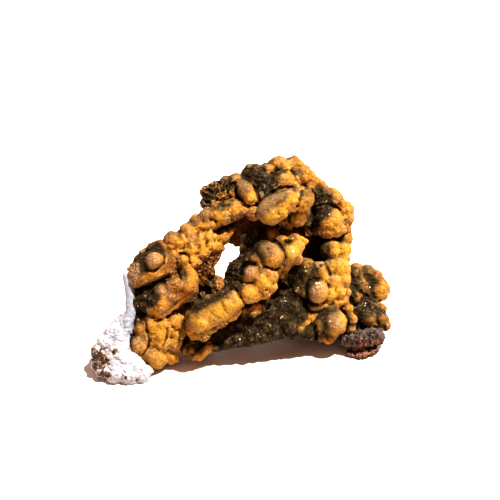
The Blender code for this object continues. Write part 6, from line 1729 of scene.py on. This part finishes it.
def stage_floor():
    """The floor that the specimen rests on."""
    bm = bmesh.new()
    bmesh.ops.create_grid(bm, x_segments=1, y_segments=1, size=FLOOR_HALF * MM)
    mesh = bpy.data.meshes.new("floor")
    bm.to_mesh(mesh)
    bm.free()
    mesh.materials.append(floor_finish())
    made = bpy.data.objects.new("floor", mesh)
    bpy.context.scene.collection.objects.link(made)


def stage_camera():
    """The camera, square to the leaning plane."""
    data = bpy.data.cameras.new("camera")
    data.sensor_width = SENSOR
    data.lens = SENSOR * CAMERA_FAR / CAMERA_SPAN
    data.clip_start, data.clip_end = 0.01, 10.0
    made = bpy.data.objects.new("camera", data)
    made.location = place(*CAMERA_AIM, CAMERA_FAR) * MM
    made.rotation_euler = OUT_OF_PLANE.to_track_quat("Z", "Y").to_euler()
    bpy.context.scene.collection.objects.link(made)
    bpy.context.scene.camera = made


def stage_light(settings):
    """A key light from the right and above, a broad and a faint one beside it, and a soft sky."""
    lights = (
        ("key", settings.lamp, LAMP_ANGLE, LAMP_FROM), ("side", settings.side, SIDE_ANGLE, SIDE_FROM),
        ("rear", settings.rear, REAR_ANGLE, REAR_FROM),
    )
    for name, energy, angle, source in lights:
        data = bpy.data.lights.new(name, "SUN")
        data.energy, data.angle = energy, angle
        made = bpy.data.objects.new(name, data)
        made.rotation_euler = source.to_track_quat("Z", "Y").to_euler()
        bpy.context.scene.collection.objects.link(made)
    world = bpy.data.worlds.new("soft light")
    world.use_nodes = True
    sky = world.node_tree.nodes["Background"]
    sky.inputs["Color"].default_value = SKY_TINT
    sky.inputs["Strength"].default_value = settings.sky
    bpy.context.scene.world = world


class MOTTRAMITE_OT_stage(bpy.types.Operator):
    """Set up the floor, the camera and the lights"""

    bl_idname = "mottramite.stage"
    bl_label = "Stage"

    def execute(self, context):
        stage_floor()
        stage_camera()
        stage_light(context.scene.mottramite)
        context.scene.view_settings.view_transform = "Standard"
        context.scene.view_settings.look = "High Contrast"
        return {"FINISHED"}


class MOTTRAMITE_PT_panel(bpy.types.Panel):
    """Sizes, colours and the steps of the specimen"""

    bl_label = "Mottramite"
    bl_space_type = "VIEW_3D"
    bl_region_type = "UI"
    bl_category = "Mottramite"

    def draw(self, context):
        settings = context.scene.mottramite
        for name in MOTTRAMITE_PG_specimen.__annotations__:
            self.layout.prop(settings, name)
        for made in OPERATORS:
            self.layout.operator(made.bl_idname)


OPERATORS = (
    MOTTRAMITE_OT_branches, MOTTRAMITE_OT_crust, MOTTRAMITE_OT_matrix, MOTTRAMITE_OT_quartz,
    MOTTRAMITE_OT_stage,
)
CLASSES = (MOTTRAMITE_PG_specimen, *OPERATORS, MOTTRAMITE_PT_panel)


def register():
    for made in CLASSES:
        bpy.utils.register_class(made)
    bpy.types.Scene.mottramite = bpy.props.PointerProperty(type=MOTTRAMITE_PG_specimen)


def unregister():
    del bpy.types.Scene.mottramite
    for made in reversed(CLASSES):
        bpy.utils.unregister_class(made)


def main():
    """Grows the whole specimen and its stage."""
    register()
    bpy.ops.mottramite.branches()
    bpy.ops.mottramite.crust()
    bpy.ops.mottramite.matrix()
    bpy.ops.mottramite.quartz()
    bpy.ops.mottramite.stage()


if __name__ == "__main__":
    main()
